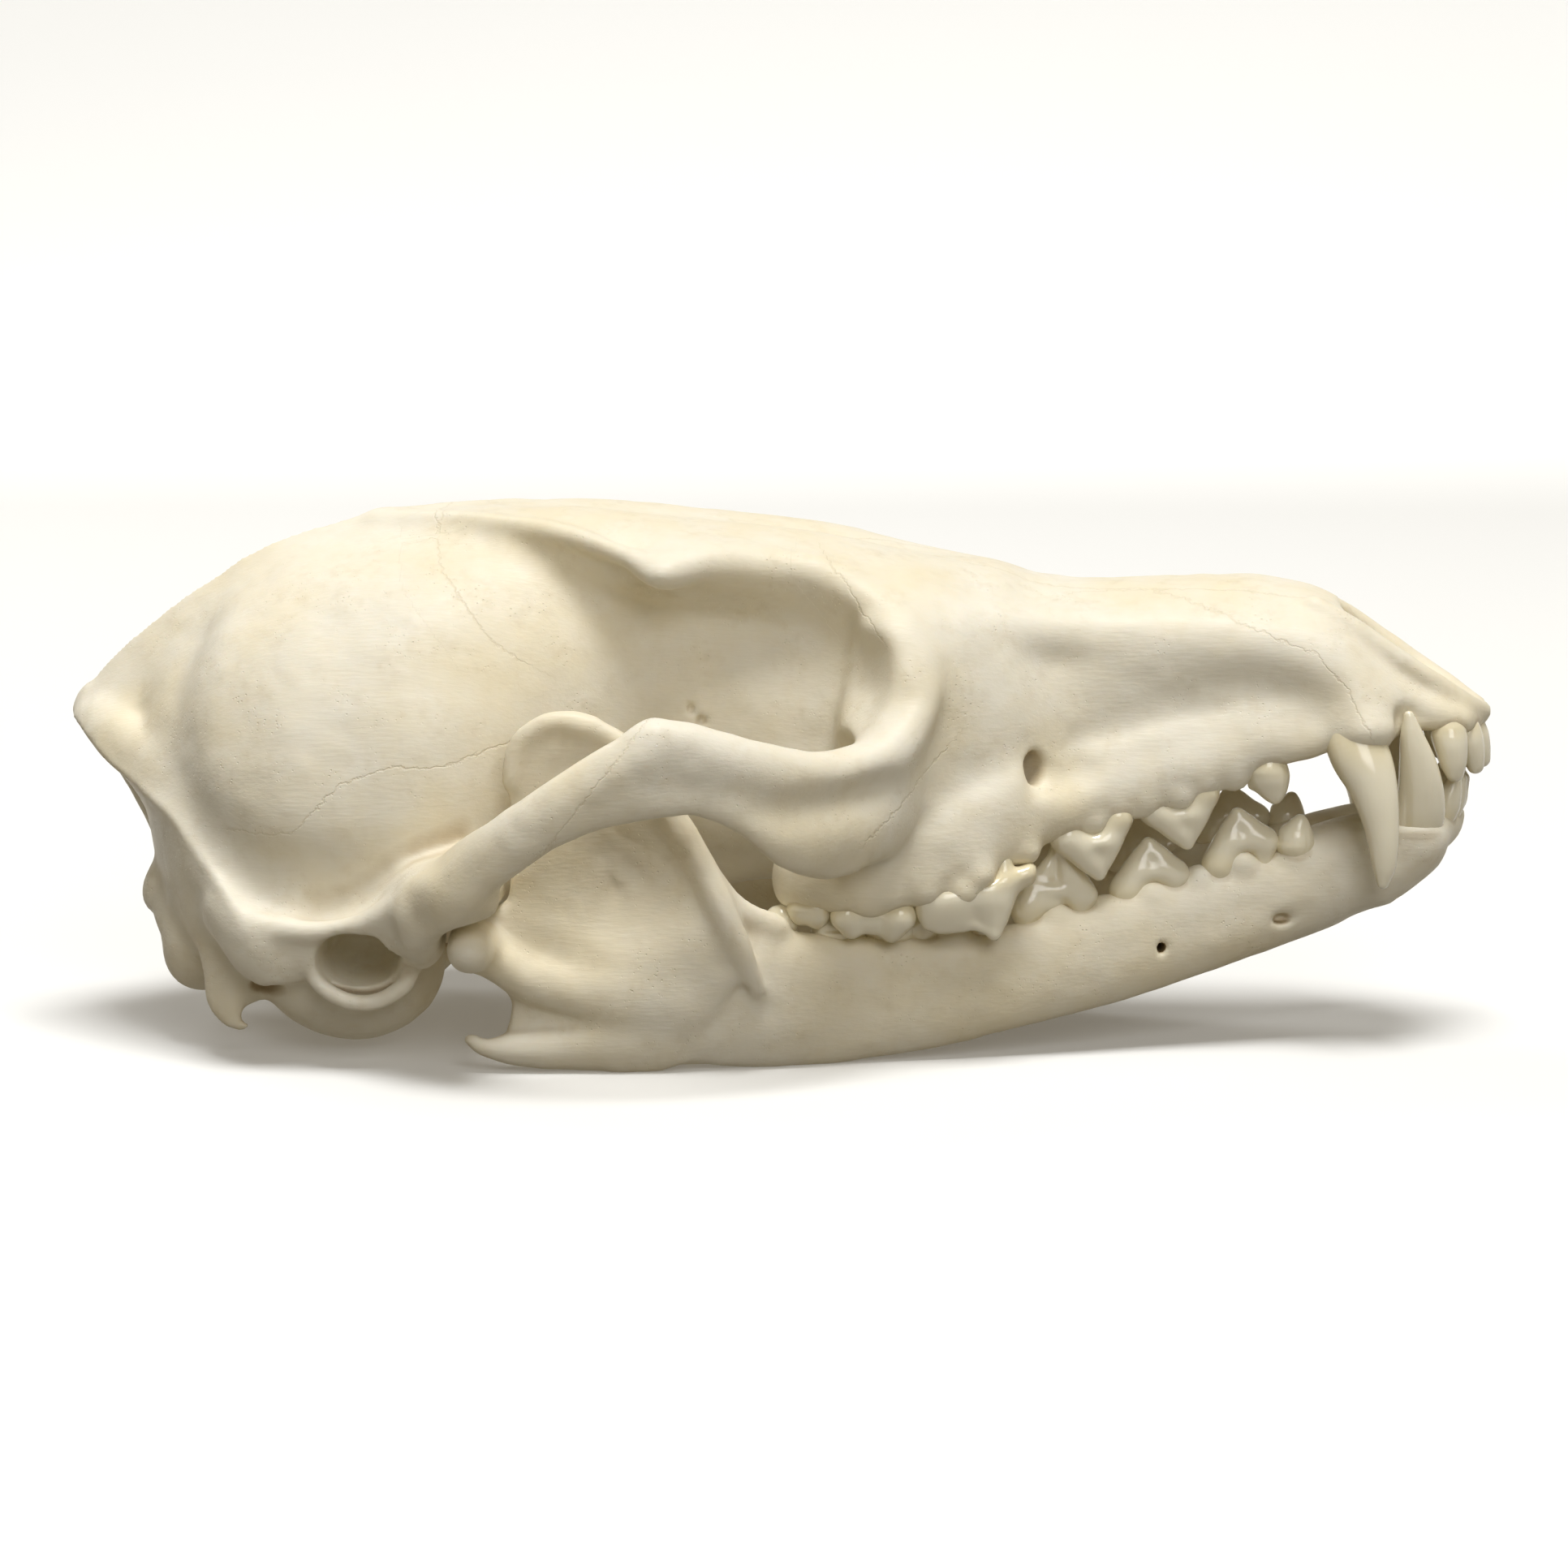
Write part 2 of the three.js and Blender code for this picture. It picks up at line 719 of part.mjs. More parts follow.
const lowerCrowns = [
  { at: [70.1, 1.5, 25], size: [2.6, 2.1, 3.2], profile: "peg" },
  { at: [69.4, 3.7, 25.1], size: [2.8, 2.3, 3.6], profile: "peg", turn: -0.4 },
  { at: [67.9, 5.7, 25], size: [3, 2.4, 3.8], profile: "peg", turn: -0.8 },
  { at: [53.2, 7.3, 20], size: [3.7, 2.6, 3.5], profile: "peg" },
  { at: [47.1, 7.5, 18.3], size: [8.2, 3, 6.4], profile: "blade", turn: -0.14 },
  { at: [38, 9.2, 16.6], size: [8.6, 3.2, 6.3], profile: "blade", turn: -0.24 },
  { at: [28.6, 11.4, 15], size: [8.8, 3.5, 6.8], profile: "blade", turn: -0.24 },
  { at: [18.2, 13.8, 12.8], size: [8, 3.6, 6.6], profile: "blade", turn: -0.16 },
  { at: [21.9, 13.2, 13.6], size: [5, 3.4, 5.2], profile: "blade", turn: -0.2 },
  { at: [12, 14.7, 12.8], size: [5.6, 4, 1.3], profile: "table" },
  { at: [6.1, 15.8, 12.9], size: [5.4, 4, 1.2], profile: "table" },
  { at: [1.2, 17.2, 13.3], size: [2.8, 2.6, 1.3], profile: "table" },
].map((t) => crown(t));

// Lower jaw, left half
const jawBody = loft({
  rows: level([
    [-16, 20.6, 23.9, 0.2, 17],
    [-9, 18.9, 23.2, 0.7, 15.6],
    [-3, 17, 22, -0.2, 14.2],
    [4, 15, 20.2, -0.6, 13.6],
    [12, 12.9, 18.2, 0.3, 13.1],
    [20, 11, 16.6, 1.8, 13.6],
    [28, 9.2, 14.6, 3.2, 15.2],
    [36, 7, 12.6, 4.9, 16.8],
    [42, 4.8, 11.2, 6.3, 18],
    [48, 1, 10, 7.8, 19.4],
    [54, SEAM / 2, 9.1, 9.7, 21.2],
    [60, SEAM / 2, 8.3, 12.4, 23.4],
    [66, SEAM / 2, 7, 16.2, 25.2],
    [70.4, SEAM / 2, 4.6, 20.2, 25.8],
  ]),
  rings: 14,
  sides: 10,
  caps: [3, 2.4],
  over: 2.5,
  under: 2.2,
});

const jawBlade = loft({
  axis: "z",
  rows: level([
    [0.4, -27.4, -4, 21.6, 24],
    [4, -27.4, -2.4, 20.8, 24],
    [7, -27, -1.6, 20.6, 24],
    [10, -28.8, -1.8, 20.8, 24],
    [13.6, -30.4, -3.2, 21, 24.2],
    [16.2, -29.2, -4.6, 21.3, 24.3],
    [18, -26.9, -5.6, 21.5, 24.4],
    [22, -26.6, -7.9, 21.9, 24.6],
    [27, -26.9, -10.4, 22.3, 24.7],
    [31, -27.1, -12.7, 22.7, 24.7],
    [34.4, -26, -15.4, 23.1, 24.7],
    [36.4, -23.6, -18, 23.3, 24.6],
  ]),
  rings: 11,
  sides: 14,
  caps: [1.2, 0.8],
  over: 2.4,
  under: 2.4,
});

const jawFrontEdge = loft({
  axis: "z",
  rows: level([
    [6, -4.6, -0.4, 20.4, 23.2],
    [12, -6, -2, 21, 24.4],
    [18, -8.4, -4.9, 21.4, 24.9],
    [24, -11.2, -7.7, 22, 25],
    [31, -15.6, -11.8, 22.4, 24.9],
  ]),
  rings: 5,
  sides: 8,
  caps: [3, 3],
});

const jawKnuckle = loft({
  axis: "y",
  rows: level([
    [19.6, -32.6, -28.6, 11.6, 15.6],
    [23, -33, -28.1, 11.1, 16.1],
    [28, -32.8, -28.3, 11.3, 16.1],
    [33.6, -32.4, -28.8, 12, 15.6],
  ]),
  rings: 4,
  sides: 8,
  caps: [1.4, 1.4],
});

const jawAngle = loft({
  rows: level([
    [-31.2, 22.2, 24.4, 1.7, 3.3],
    [-29, 21.8, 24.6, 0.1, 3.8],
    [-26, 21.4, 24.6, -0.6, 5.4],
    [-20, 21, 24.4, -0.3, 7],
    [-12, 20.6, 24, 0.3, 7],
  ]),
  rings: 5,
  sides: 6,
  caps: [1, 3],
});

const chewingHollow = ball([-16.6, 30.4, 17.6], [10.2, 7.4, 9.4], 0.4, 16);
const chinHoles = [
  ball([52.6, 10.2, 13.6], [1.4, 2.6, 1], 0.3, 8),
  ball([38.8, 12.8, 9.6], [0.8, 2.4, 0.8], 0, 8),
];
const ground = block([-90, -60, -10], [90, 60, 0]);

const jawLeft = largest(
  cut(join([jawBody, jawBlade, jawFrontEdge, jawKnuckle, jawAngle]), [
    chewingHollow,
    ...chinHoles,
    block([40, -20, -5], [90, SEAM / 2, 60]),
    ground,
  ]).add(join([lowerCanine, ...lowerCrowns])),
);

// Cranium, joined whole, hollowed and then parted
const wholeCranium = cut(
  join([
    braincase,
    lowerOcciput,
    napeHood,
    sagittalCrest,
    frontalRoof,
    orbitCore,
    skullBase,
    snout,
    ...bothSides([
      postorbitalPoint,
      pterygoidPlate,
      jointRoof,
      jointStop,
      cheek,
      toothBearer,
      snoutRoll,
      earShelf,
    ]),
  ])
    .subtract(behindNape)
    .subtract(join(bothSides([orbit])))
    .add(join(bothSides([arch, condyle, napeKnob, paroccipital]))),
  [
    noseHollow,
    choana,
    palateVault,
    spineHole,
    ...bothSides([
      infraorbitalCanal,
      carnassialPit,
      canineNotch,
      jawJoint,
      ball(BULLA.centre, grown(BULLA.radii, SEAM), 0.1, 16),
      earTube(SEAM, 14, EAR.outer + 4),
    ]),
  ],
).add(join(bothSides([upperCanine, ...upperCrowns])));

// A thin wall that follows [x, z] points in side view and reaches across from one y to another.
function seamWall(line, low, high) {
  const normal = (i) => {
    const from = line[Math.max(0, i - 1)];
    const to = line[Math.min(line.length - 1, i + 1)];
    return new THREE.Vector2(from[1] - to[1], to[0] - from[0]).setLength(SEAM / 2);
  };
  const edge = (side) => line.map(([x, z], i) => new THREE.Vector2(x, z).addScaledVector(normal(i), side));
  const outline = new THREE.Shape([...edge(1), ...edge(-1).reverse()]);
  const wall = new THREE.ExtrudeGeometry(outline, { depth: high - low, bevelEnabled: false });
  return welded(wall.rotateX(Math.PI / 2).translate(0, high, 0));
}

// Frontal to maxilla, jugal to temple and jugal to maxilla, along the real sutures
const FACE_SEAM = [[3, 62], [5, 50.5], [10.5, 43.2], [10, 38], [6, 31], [2, 26], [0.2, 20], [0.2, 5]];
const BROW_SEAM = [[3, 62], [5, 50.5], [10.5, 43.2], [3, 40]];
const TEMPLE_SEAM = [[-9.4, 41], [-11.6, 38.2], [-26, 20.4], [-28, 18]];
const JUGAL_SEAM = [[-4, 20.4], [7.6, 22.4], [12.2, 29.4], [13.8, 33], [12.2, 36.6], [5, 40]];
const JUGAL_INNER = 18.6;
const seams = [
  seamWall(FACE_SEAM, -JUGAL_INNER, JUGAL_INNER),
  ...bothSides([
    seamWall(BROW_SEAM, JUGAL_INNER - SEAM, 30),
    seamWall(TEMPLE_SEAM, 30, 45),
    seamWall(JUGAL_SEAM, JUGAL_INNER, 45),
    block([-4, JUGAL_INNER - SEAM, 20.4], [14, JUGAL_INNER, 46]),
  ]),
];
const pieces = cut(wholeCranium, seams).decompose();
const inside = (solid, [x, y, z]) => {
  const { min, max } = solid.boundingBox();
  return min[0] < x && x < max[0] && min[1] < y && y < max[1] && min[2] < z && z < max[2];
};
const pieceAt = (point, not = []) =>
  pieces.filter((p) => inside(p, point) && !not.includes(p)).sort((a, b) => b.volume() - a.volume())[0];
const ahead = pieceAt([50, 0, 40]);
const behind = pieceAt([-60, 0, 30]);
const jugalLeft = pieceAt([-4, 35, 30], [ahead, behind]);

function geometryOf(solid) {
  const { numProp, vertProperties, triVerts, numVert } = solid.getMesh();
  const position = new Float32Array(numVert * 3);
  for (let i = 0; i < numVert; i += 1) {
    position.set(vertProperties.subarray(i * numProp, i * numProp + 3), i * 3);
  }
  const made = new THREE.BufferGeometry();
  made.setAttribute("position", new THREE.BufferAttribute(position, 3));
  made.setIndex(new THREE.BufferAttribute(triVerts, 1));
  made.computeVertexNormals();
  return made;
}

const skull = new THREE.Group();
function place(name, geometry, colour = BONE_COLOUR) {
  const material = new THREE.MeshStandardMaterial({ color: colour, roughness: 0.55, metalness: 0 });
  const mesh = new THREE.Mesh(geometry, material);
  mesh.name = name;
  skull.add(mesh);
}

place("braincase", geometryOf(behind));
place("face", geometryOf(ahead));
place("zygomatic_left", geometryOf(jugalLeft));
place("zygomatic_right", mirrored(geometryOf(jugalLeft)));
place("bulla_left", geometryOf(bullaLeft));
place("bulla_right", mirrored(geometryOf(bullaLeft)));
place("mandible_left", geometryOf(jawLeft));
place("mandible_right", mirrored(geometryOf(jawLeft)));

export default skull;
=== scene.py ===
"""Looks of the red fox skull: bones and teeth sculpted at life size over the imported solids.

Every form below is in millimetres: +X to the snout, +Y to the animal's left, +Z up. The forms are
pressed together like clay on a fine grid, one half is worked and mirrored, and the surface of the
clay becomes the mesh.
"""

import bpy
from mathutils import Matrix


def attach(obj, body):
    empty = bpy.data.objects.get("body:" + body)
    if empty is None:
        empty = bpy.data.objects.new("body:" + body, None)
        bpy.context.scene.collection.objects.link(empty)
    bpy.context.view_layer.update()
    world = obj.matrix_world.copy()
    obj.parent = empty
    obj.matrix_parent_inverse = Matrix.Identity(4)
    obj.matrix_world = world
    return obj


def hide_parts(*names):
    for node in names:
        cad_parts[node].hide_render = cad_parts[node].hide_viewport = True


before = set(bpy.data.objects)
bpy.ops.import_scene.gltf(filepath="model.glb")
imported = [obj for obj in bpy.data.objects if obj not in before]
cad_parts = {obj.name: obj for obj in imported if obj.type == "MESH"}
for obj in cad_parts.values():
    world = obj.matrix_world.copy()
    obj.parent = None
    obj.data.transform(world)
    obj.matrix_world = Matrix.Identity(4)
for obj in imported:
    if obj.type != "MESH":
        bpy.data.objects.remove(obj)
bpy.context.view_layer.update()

import copy
import logging
import math
from dataclasses import dataclass, field
from enum import Enum
from typing import Protocol, Sequence

import bpy
import numpy as np
import openvdb
from mathutils import Vector

LOG = logging.getLogger("fox_skull")
MM = 0.001
BONE_STEP = 0.4  # mm, the clay's grid for the bones
TOOTH_STEP = 0.2  # mm, its grid for the teeth
FAR = 6.0  # mm, the largest distance that the clay keeps
REACH = 3.2  # mm that a form's distances are worked out past its own box
CORE = 0.3  # share of a round form's radius within which its depth is taken as even
CORE_DEPTH = 0.7  # that depth, as a share of the least radius
SEAM_FAR = 4.0  # mm from a bone seam past which it leaves no mark
SMALL = np.float32(1e-4)  # keeps the middle of a section from dividing by nought

Row = tuple[float, ...]
Point = tuple[float, float, float]


class Axis(Enum):
    """The axis that a long form runs along."""

    X = 0
    Y = 1
    Z = 2


class View(Enum):
    """The flat view in which a bone seam is drawn: the two axes it uses."""

    SIDE = (0, 2)
    TOP = (0, 1)


# Clay


def eased(rows: Sequence[Row], at: np.ndarray) -> np.ndarray:
    """Read sizes between stations on a smooth curve that never overshoots them.

    Args:
        rows: stations, each a position and its sizes.
        at: positions to read.

    Returns:
        One row of values for each size, as long as at.
    """
    table = np.asarray(rows, dtype=np.float64)
    places, sizes = table[:, 0], table[:, 1:]
    span = np.diff(places)
    rise = np.diff(sizes, axis=0) / span[:, None]
    slope = np.empty_like(sizes)
    slope[0], slope[-1] = rise[0], rise[-1]
    if len(rise) > 1:
        before, after = rise[:-1], rise[1:]
        total = np.where(before + after == 0, 1, before + after)
        slope[1:-1] = np.where(before * after > 0, 2 * before * after / total, 0)
    i = np.clip(np.searchsorted(places, at, side="right") - 1, 0, len(places) - 2)
    t = np.clip((at - places[i]) / span[i], 0, 1)[:, None]
    h = span[i][:, None]
    value = (
        sizes[i] * (1 + 2 * t) * (1 - t) ** 2
        + slope[i] * h * t * (1 - t) ** 2
        + sizes[i + 1] * t * t * (3 - 2 * t)
        - slope[i + 1] * h * t * t * (1 - t)
    )
    return value.T.astype(np.float32)


def spread(values: np.ndarray, axis: int) -> np.ndarray:
    """Lay a row of values along one axis of the grid.

    Args:
        values: the row.
        axis: the axis's number.

    Returns:
        The same values, shaped to combine with a whole block.
    """
    shape = [1, 1, 1]
    shape[axis] = -1
    return values.reshape(shape).astype(np.float32)


class Form(Protocol):
    """Anything that can be pressed onto the clay or carved out of it."""

    def span(self) -> tuple[np.ndarray, np.ndarray]:
        """Give the lowest and highest corner of the form."""

    def distance(self, axes: Sequence[np.ndarray]) -> np.ndarray:
        """Give distances to the form's skin, negative inside, on a grid of x, y and z places."""


@dataclass
class Loft:
    """A long form with a super-ellipse section that changes along it.

    rows are stations: position, low and high across, then base, widest level and top.
    over and under are the section's exponents above and below the widest level: 2 is an ellipse,
    and more is boxier. caps are how far the first and the last end round off, in mm.
    """

    rows: Sequence[Row]
    axis: Axis = Axis.X
    over: float = 2.0
    under: float = 2.0
    caps: tuple[float, float] = (1.0, 1.0)

    def _order(self) -> tuple[int, int, int]:
        """Give the numbers of the axes along, across and up the section."""
        return {Axis.X: (0, 1, 2), Axis.Y: (1, 0, 2), Axis.Z: (2, 0, 1)}[self.axis]

    def span(self) -> tuple[np.ndarray, np.ndarray]:
        """Read the form's box from its stations.

        Returns:
            Its lowest and highest corner.
        """
        table = np.asarray(self.rows)
        low, high = np.empty(3), np.empty(3)
        along, across, up = self._order()
        low[along], high[along] = table[0, 0], table[-1, 0]
        low[across], high[across] = table[:, 1].min(), table[:, 2].max()
        low[up], high[up] = table[:, 3].min(), table[:, 5].max()
        return low, high

    def distance(self, axes: Sequence[np.ndarray]) -> np.ndarray:
        """Give distances to the form's skin, to the first order.

        Args:
            axes: grid places along x, y and z.

        Returns:
            A distance for each place, in mm.
        """
        along, across, up = self._order()
        low, high, base, level, top = (spread(v, along) for v in eased(self.rows, axes[along]))
        half = (high - low) / 2
        a = np.abs(spread(axes[across], across) - (low + high) / 2) / half + SMALL
        rise = spread(axes[up], up) - level
        above = rise >= 0
        tall = np.where(above, top - level, level - base)
        power = np.where(above, np.float32(self.over), np.float32(self.under))
        b = np.abs(rise) / tall + SMALL
        pa, pb = a**power, b**power
        total = pa + pb
        ring = total ** (1 / power)
        slope_a = ring * pa / (total * a * half)
        slope_b = ring * pb / (total * b * tall)
        t = axes[along]
        start, end = self.rows[0][0], self.rows[-1][0]
        before = (start + self.caps[0] - t) / self.caps[0]
        after = (t - end + self.caps[1]) / self.caps[1]
        beyond = spread(np.maximum(0, np.maximum(before, after)), along)
        per_mm = spread(np.where(before > after, 1 / self.caps[0], 1 / self.caps[1]), along)
        size = np.sqrt(ring * ring + beyond * beyond)
        steep = ((ring / size) ** 2) * (slope_a**2 + slope_b**2) + (beyond / size * per_mm) ** 2
        return (size - 1) / np.sqrt(steep + 1e-6)


@dataclass
class Strand:
    """A cord of clay along a smooth line, for rims, crests, horns and cusps.

    points are x, y, z and a radius, or x, y, z and a radius along each of x, y and z.
    fine is how many steps the line takes from one point to the next.
    """

    points: Sequence[Row]
    fine: int = 5

    def _beads(self) -> np.ndarray:
        """Spread even beads along a smooth line through the points.

        Returns:
            A row for each bead: its place and its radii along x, y and z.
        """
        table = np.asarray([(*p[:3], *(p[3:] if len(p) > 4 else (p[3],) * 3)) for p in self.points])
        if len(table) == 2:
            t = np.linspace(0, 1, self.fine + 1)[:, None]
            return table[0] * (1 - t) + table[1] * t
        padded = np.vstack([2 * table[0] - table[1], table, 2 * table[-1] - table[-2]])
        beads = [table[0][None]]
        for i in range(1, len(padded) - 2):
            p0, p1, p2, p3 = padded[i - 1 : i + 3]
            t = (np.arange(1, self.fine + 1) / self.fine)[:, None]
            beads.append(
                0.5 * (2 * p1 + (p2 - p0) * t + (2 * p0 - 5 * p1 + 4 * p2 - p3) * t**2
                       + (3 * p1 - p0 - 3 * p2 + p3) * t**3)
            )
        line = np.vstack(beads)
        line[:, 3:] = np.maximum(line[:, 3:], table[:, 3:].min(axis=0))
        return line

    def span(self) -> tuple[np.ndarray, np.ndarray]:
        """Give the lowest and highest corner of the form."""
        beads = self._beads()
        return (beads[:, :3] - beads[:, 3:]).min(axis=0), (beads[:, :3] + beads[:, 3:]).max(axis=0)

    def distance(self, axes: Sequence[np.ndarray]) -> np.ndarray:
        """Give distances to the cord's skin.

        Args:
            axes: grid places along x, y and z.

        Returns:
            A distance for each place, in mm.
        """
        beads = self._beads()
        out = np.full([len(a) for a in axes], FAR, dtype=np.float32)
        for a, b in zip(beads[:-1], beads[1:]):
            size = np.maximum(a[3:], b[3:]) + REACH + 1.5
            low, high = np.minimum(a[:3], b[:3]) - size, np.maximum(a[:3], b[:3]) + size
            cut = [slice(*np.searchsorted(g, (lo, hi))) for g, lo, hi in zip(axes, low, high)]
            if any(c.start >= c.stop for c in cut):
                continue
            grid = np.meshgrid(*(g[c] for g, c in zip(axes, cut)), indexing="ij", sparse=True)
            way = b[:3] - a[:3]
            long = max(float(way @ way), 1e-9)
            t = sum((g - o) * w for g, o, w in zip(grid, a[:3], way)) / long
            t = np.clip(t, 0, 1).astype(np.float32)
            near, nearer = 0.0, 0.0
            for k in range(3):
                radius = a[3 + k] + t * (b[3 + k] - a[3 + k])
                off = (grid[k] - a[k] - t * way[k]) / radius
                near = near + off**2
                nearer = nearer + (off / radius) ** 2
            near = np.sqrt(near)
            skin = near * (near - 1) / np.sqrt(nearer + 1e-9)
            skin = np.where(near < CORE, -CORE_DEPTH * np.minimum(a[3:].min(), b[3:].min()), skin)
            out[tuple(cut)] = np.minimum(out[tuple(cut)], skin)
        return out


@dataclass
class Lump:
    """A ball of clay stretched along its own three axes and turned about x, y and z in degrees."""

    centre: Point
    radii: Point
    turn: Point = (0.0, 0.0, 0.0)

    def _turned(self) -> np.ndarray:
        """Work out how the lump is turned.

        Returns:
            The matrix that turns its own axes into the frame's.
        """
        x, y, z = (math.radians(v) for v in self.turn)
        about_x = np.array([[1, 0, 0], [0, math.cos(x), -math.sin(x)], [0, math.sin(x), math.cos(x)]])
        about_y = np.array([[math.cos(y), 0, math.sin(y)], [0, 1, 0], [-math.sin(y), 0, math.cos(y)]])
        about_z = np.array([[math.cos(z), -math.sin(z), 0], [math.sin(z), math.cos(z), 0], [0, 0, 1]])
        return about_z @ about_y @ about_x

    def span(self) -> tuple[np.ndarray, np.ndarray]:
        """Give the lowest and highest corner of the form."""
        size = np.sqrt(((self._turned() * np.asarray(self.radii)) ** 2).sum(axis=1))
        return np.asarray(self.centre) - size, np.asarray(self.centre) + size

    def distance(self, axes: Sequence[np.ndarray]) -> np.ndarray:
        """Give distances to the lump's skin.

        Args:
            axes: grid places along x, y and z.

        Returns:
            A distance for each place, in mm.
        """
        grid = np.meshgrid(*axes, indexing="ij", sparse=True)
        turned = self._turned()
        near, nearer = 0.0, 0.0
        for k in range(3):
            own = sum((g - c) * m for g, c, m in zip(grid, self.centre, turned[:, k]))
            own = (own / self.radii[k]).astype(np.float32)
            near = near + own**2
            nearer = nearer + (own / self.radii[k]) ** 2
        near = np.sqrt(near)
        skin = near * (near - 1) / np.sqrt(nearer + 1e-9)
        return np.where(near < CORE, -CORE_DEPTH * min(self.radii), skin).astype(np.float32)


@dataclass
class Clay:
    """A block of distances to a surface, on an even grid, that forms are pressed onto."""

    low: Point
    high: Point
    step: float
    axes: list[np.ndarray] = field(init=False)
    values: np.ndarray = field(init=False)

    def __post_init__(self) -> None:
        """Lay out the empty grid."""
        self.axes = [
            np.arange(lo, hi + self.step, self.step).astype(np.float32)
            for lo, hi in zip(self.low, self.high)
        ]
        self.values = np.full([len(a) for a in self.axes], FAR, dtype=np.float32)

    def _around(self, form: Form, reach: float) -> tuple[slice, ...]:
        """Find the part of the grid that a form reaches.

        Args:
            form: the form.
            reach: how far past its box counts, in mm.

        Returns:
            A slice of the grid along each axis.
        """
        low, high = form.span()
        return tuple(
            slice(*np.searchsorted(a, (lo - reach, hi + reach))) for a, lo, hi in zip(self.axes, low, high)
        )

    def add(self, blend: float, *forms: Form) -> None:
        """Press forms onto the clay.

        Args:
            blend: how far from the join the surface is filled smooth, in mm.
            forms: what is added.
        """
        for form in forms:
            part = self._around(form, max(REACH, blend))
            if any(c.start >= c.stop for c in part):
                continue
            new = form.distance([a[c] for a, c in zip(self.axes, part)])
            old = self.values[part]
            mix = np.maximum(blend - np.abs(old - new), 0) / blend
            self.values[part] = np.minimum(np.minimum(old, new) - mix**3 * blend / 6, FAR)

    def carve(self, blend: float, *forms: Form) -> None:
        """Cut forms out of the clay.

        Args:
            blend: how far from the cut's edge the surface is rounded, in mm.
            forms: what is taken away.
        """
        for form in forms:
            part = self._around(form, max(REACH, blend))
            if any(c.start >= c.stop for c in part):
                continue
            self._keep(blend, part, -form.distance([a[c] for a, c in zip(self.axes, part)]))

    def trim(self, blend: float, form: Form, low: Point, high: Point) -> None:
        """Keep only what lies inside a form, within a window.

        Args:
            blend: how far from the cut's edge the surface is rounded, in mm.
            form: what is kept.
            low: the window's lowest corner.
            high: the window's highest corner.
        """
        part = tuple(slice(*np.searchsorted(a, (lo, hi))) for a, lo, hi in zip(self.axes, low, high))
        self._keep(blend, part, form.distance([a[c] for a, c in zip(self.axes, part)]))

    def _keep(self, blend: float, part: tuple[slice, ...], new: np.ndarray) -> None:
        """Keep what lies inside both the clay and a new skin.

        Args:
            blend: how far from their edge the surface is rounded, in mm.
            part: the part of the grid that is worked.
            new: distances to the new skin.
        """
        old = self.values[part]
        mix = np.maximum(blend - np.abs(old - new), 0) / blend
        self.values[part] = np.clip(np.maximum(old, new) + mix**3 * blend / 6, -FAR, FAR)

    def roughen(self, height: float, size: float, seed: int) -> None:
        """Make the surface rise and fall unevenly, as grown bone does.

        Args:
            height: most that it moves, in mm.
            size: distance between its swellings, in mm.
            seed: start of the random draw.
        """
        draw = np.random.default_rng(seed)
        counts = [int((a[-1] - a[0]) / size) + 3 for a in self.axes]
        wave = draw.uniform(-1, 1, counts).astype(np.float32)
        for k, places in enumerate(self.axes):
            at = (places - places[0]) / size
            i = at.astype(int)
            t = at - i
            t = spread(t * t * (3 - 2 * t), k)
            wave = np.take(wave, i, axis=k) * (1 - t) + np.take(wave, i + 1, axis=k) * t
        self.values += wave * height

    def mirrored(self) -> "Clay":
        """Join the half that starts on the middle plane to its mirror image.

        Returns:
            The whole block.
        """
        whole = copy.copy(self)
        whole.low = (self.low[0], -self.high[1], self.low[2])
        across = self.axes[1]
        whole.axes = [self.axes[0], np.concatenate([-across[:0:-1], across]), self.axes[2]]
        whole.values = np.concatenate([self.values[:, :0:-1], self.values], axis=1)
        return whole

    def read(self, points: np.ndarray) -> np.ndarray:
        """Read distances between the grid's places.

        Args:
            points: places in mm.

        Returns:
            The distance at each.
        """
        at = [(points[:, k] - self.axes[k][0]) / self.step for k in range(3)]
        at = [np.clip(a, 0, n - 1.001) for a, n in zip(at, self.values.shape)]
        i = [a.astype(int) for a in at]
        t = [a - j for a, j in zip(at, i)]
        total = np.zeros(len(points), dtype=np.float32)
        for corner in range(8):
            bits = [(corner >> k) & 1 for k in range(3)]
            share = np.ones(len(points), dtype=np.float32)
            for k in range(3):
                share *= t[k] if bits[k] else 1 - t[k]
            total += share * self.values[i[0] + bits[0], i[1] + bits[1], i[2] + bits[2]]
        return total

    def surface(self) -> tuple[np.ndarray, np.ndarray]:
        """Turn the clay's surface into a mesh.

        Returns:
            Its points in mm and its four-sided faces.
        """
        block = openvdb.FloatGrid(FAR)
        block.copyFromArray(np.ascontiguousarray(self.values))
        points, faces = block.convertToQuads(isovalue=0.0)
        points = points * self.step + np.array([a[0] for a in self.axes], dtype=np.float32)
        return points.astype(np.float32), faces.astype(np.int32)


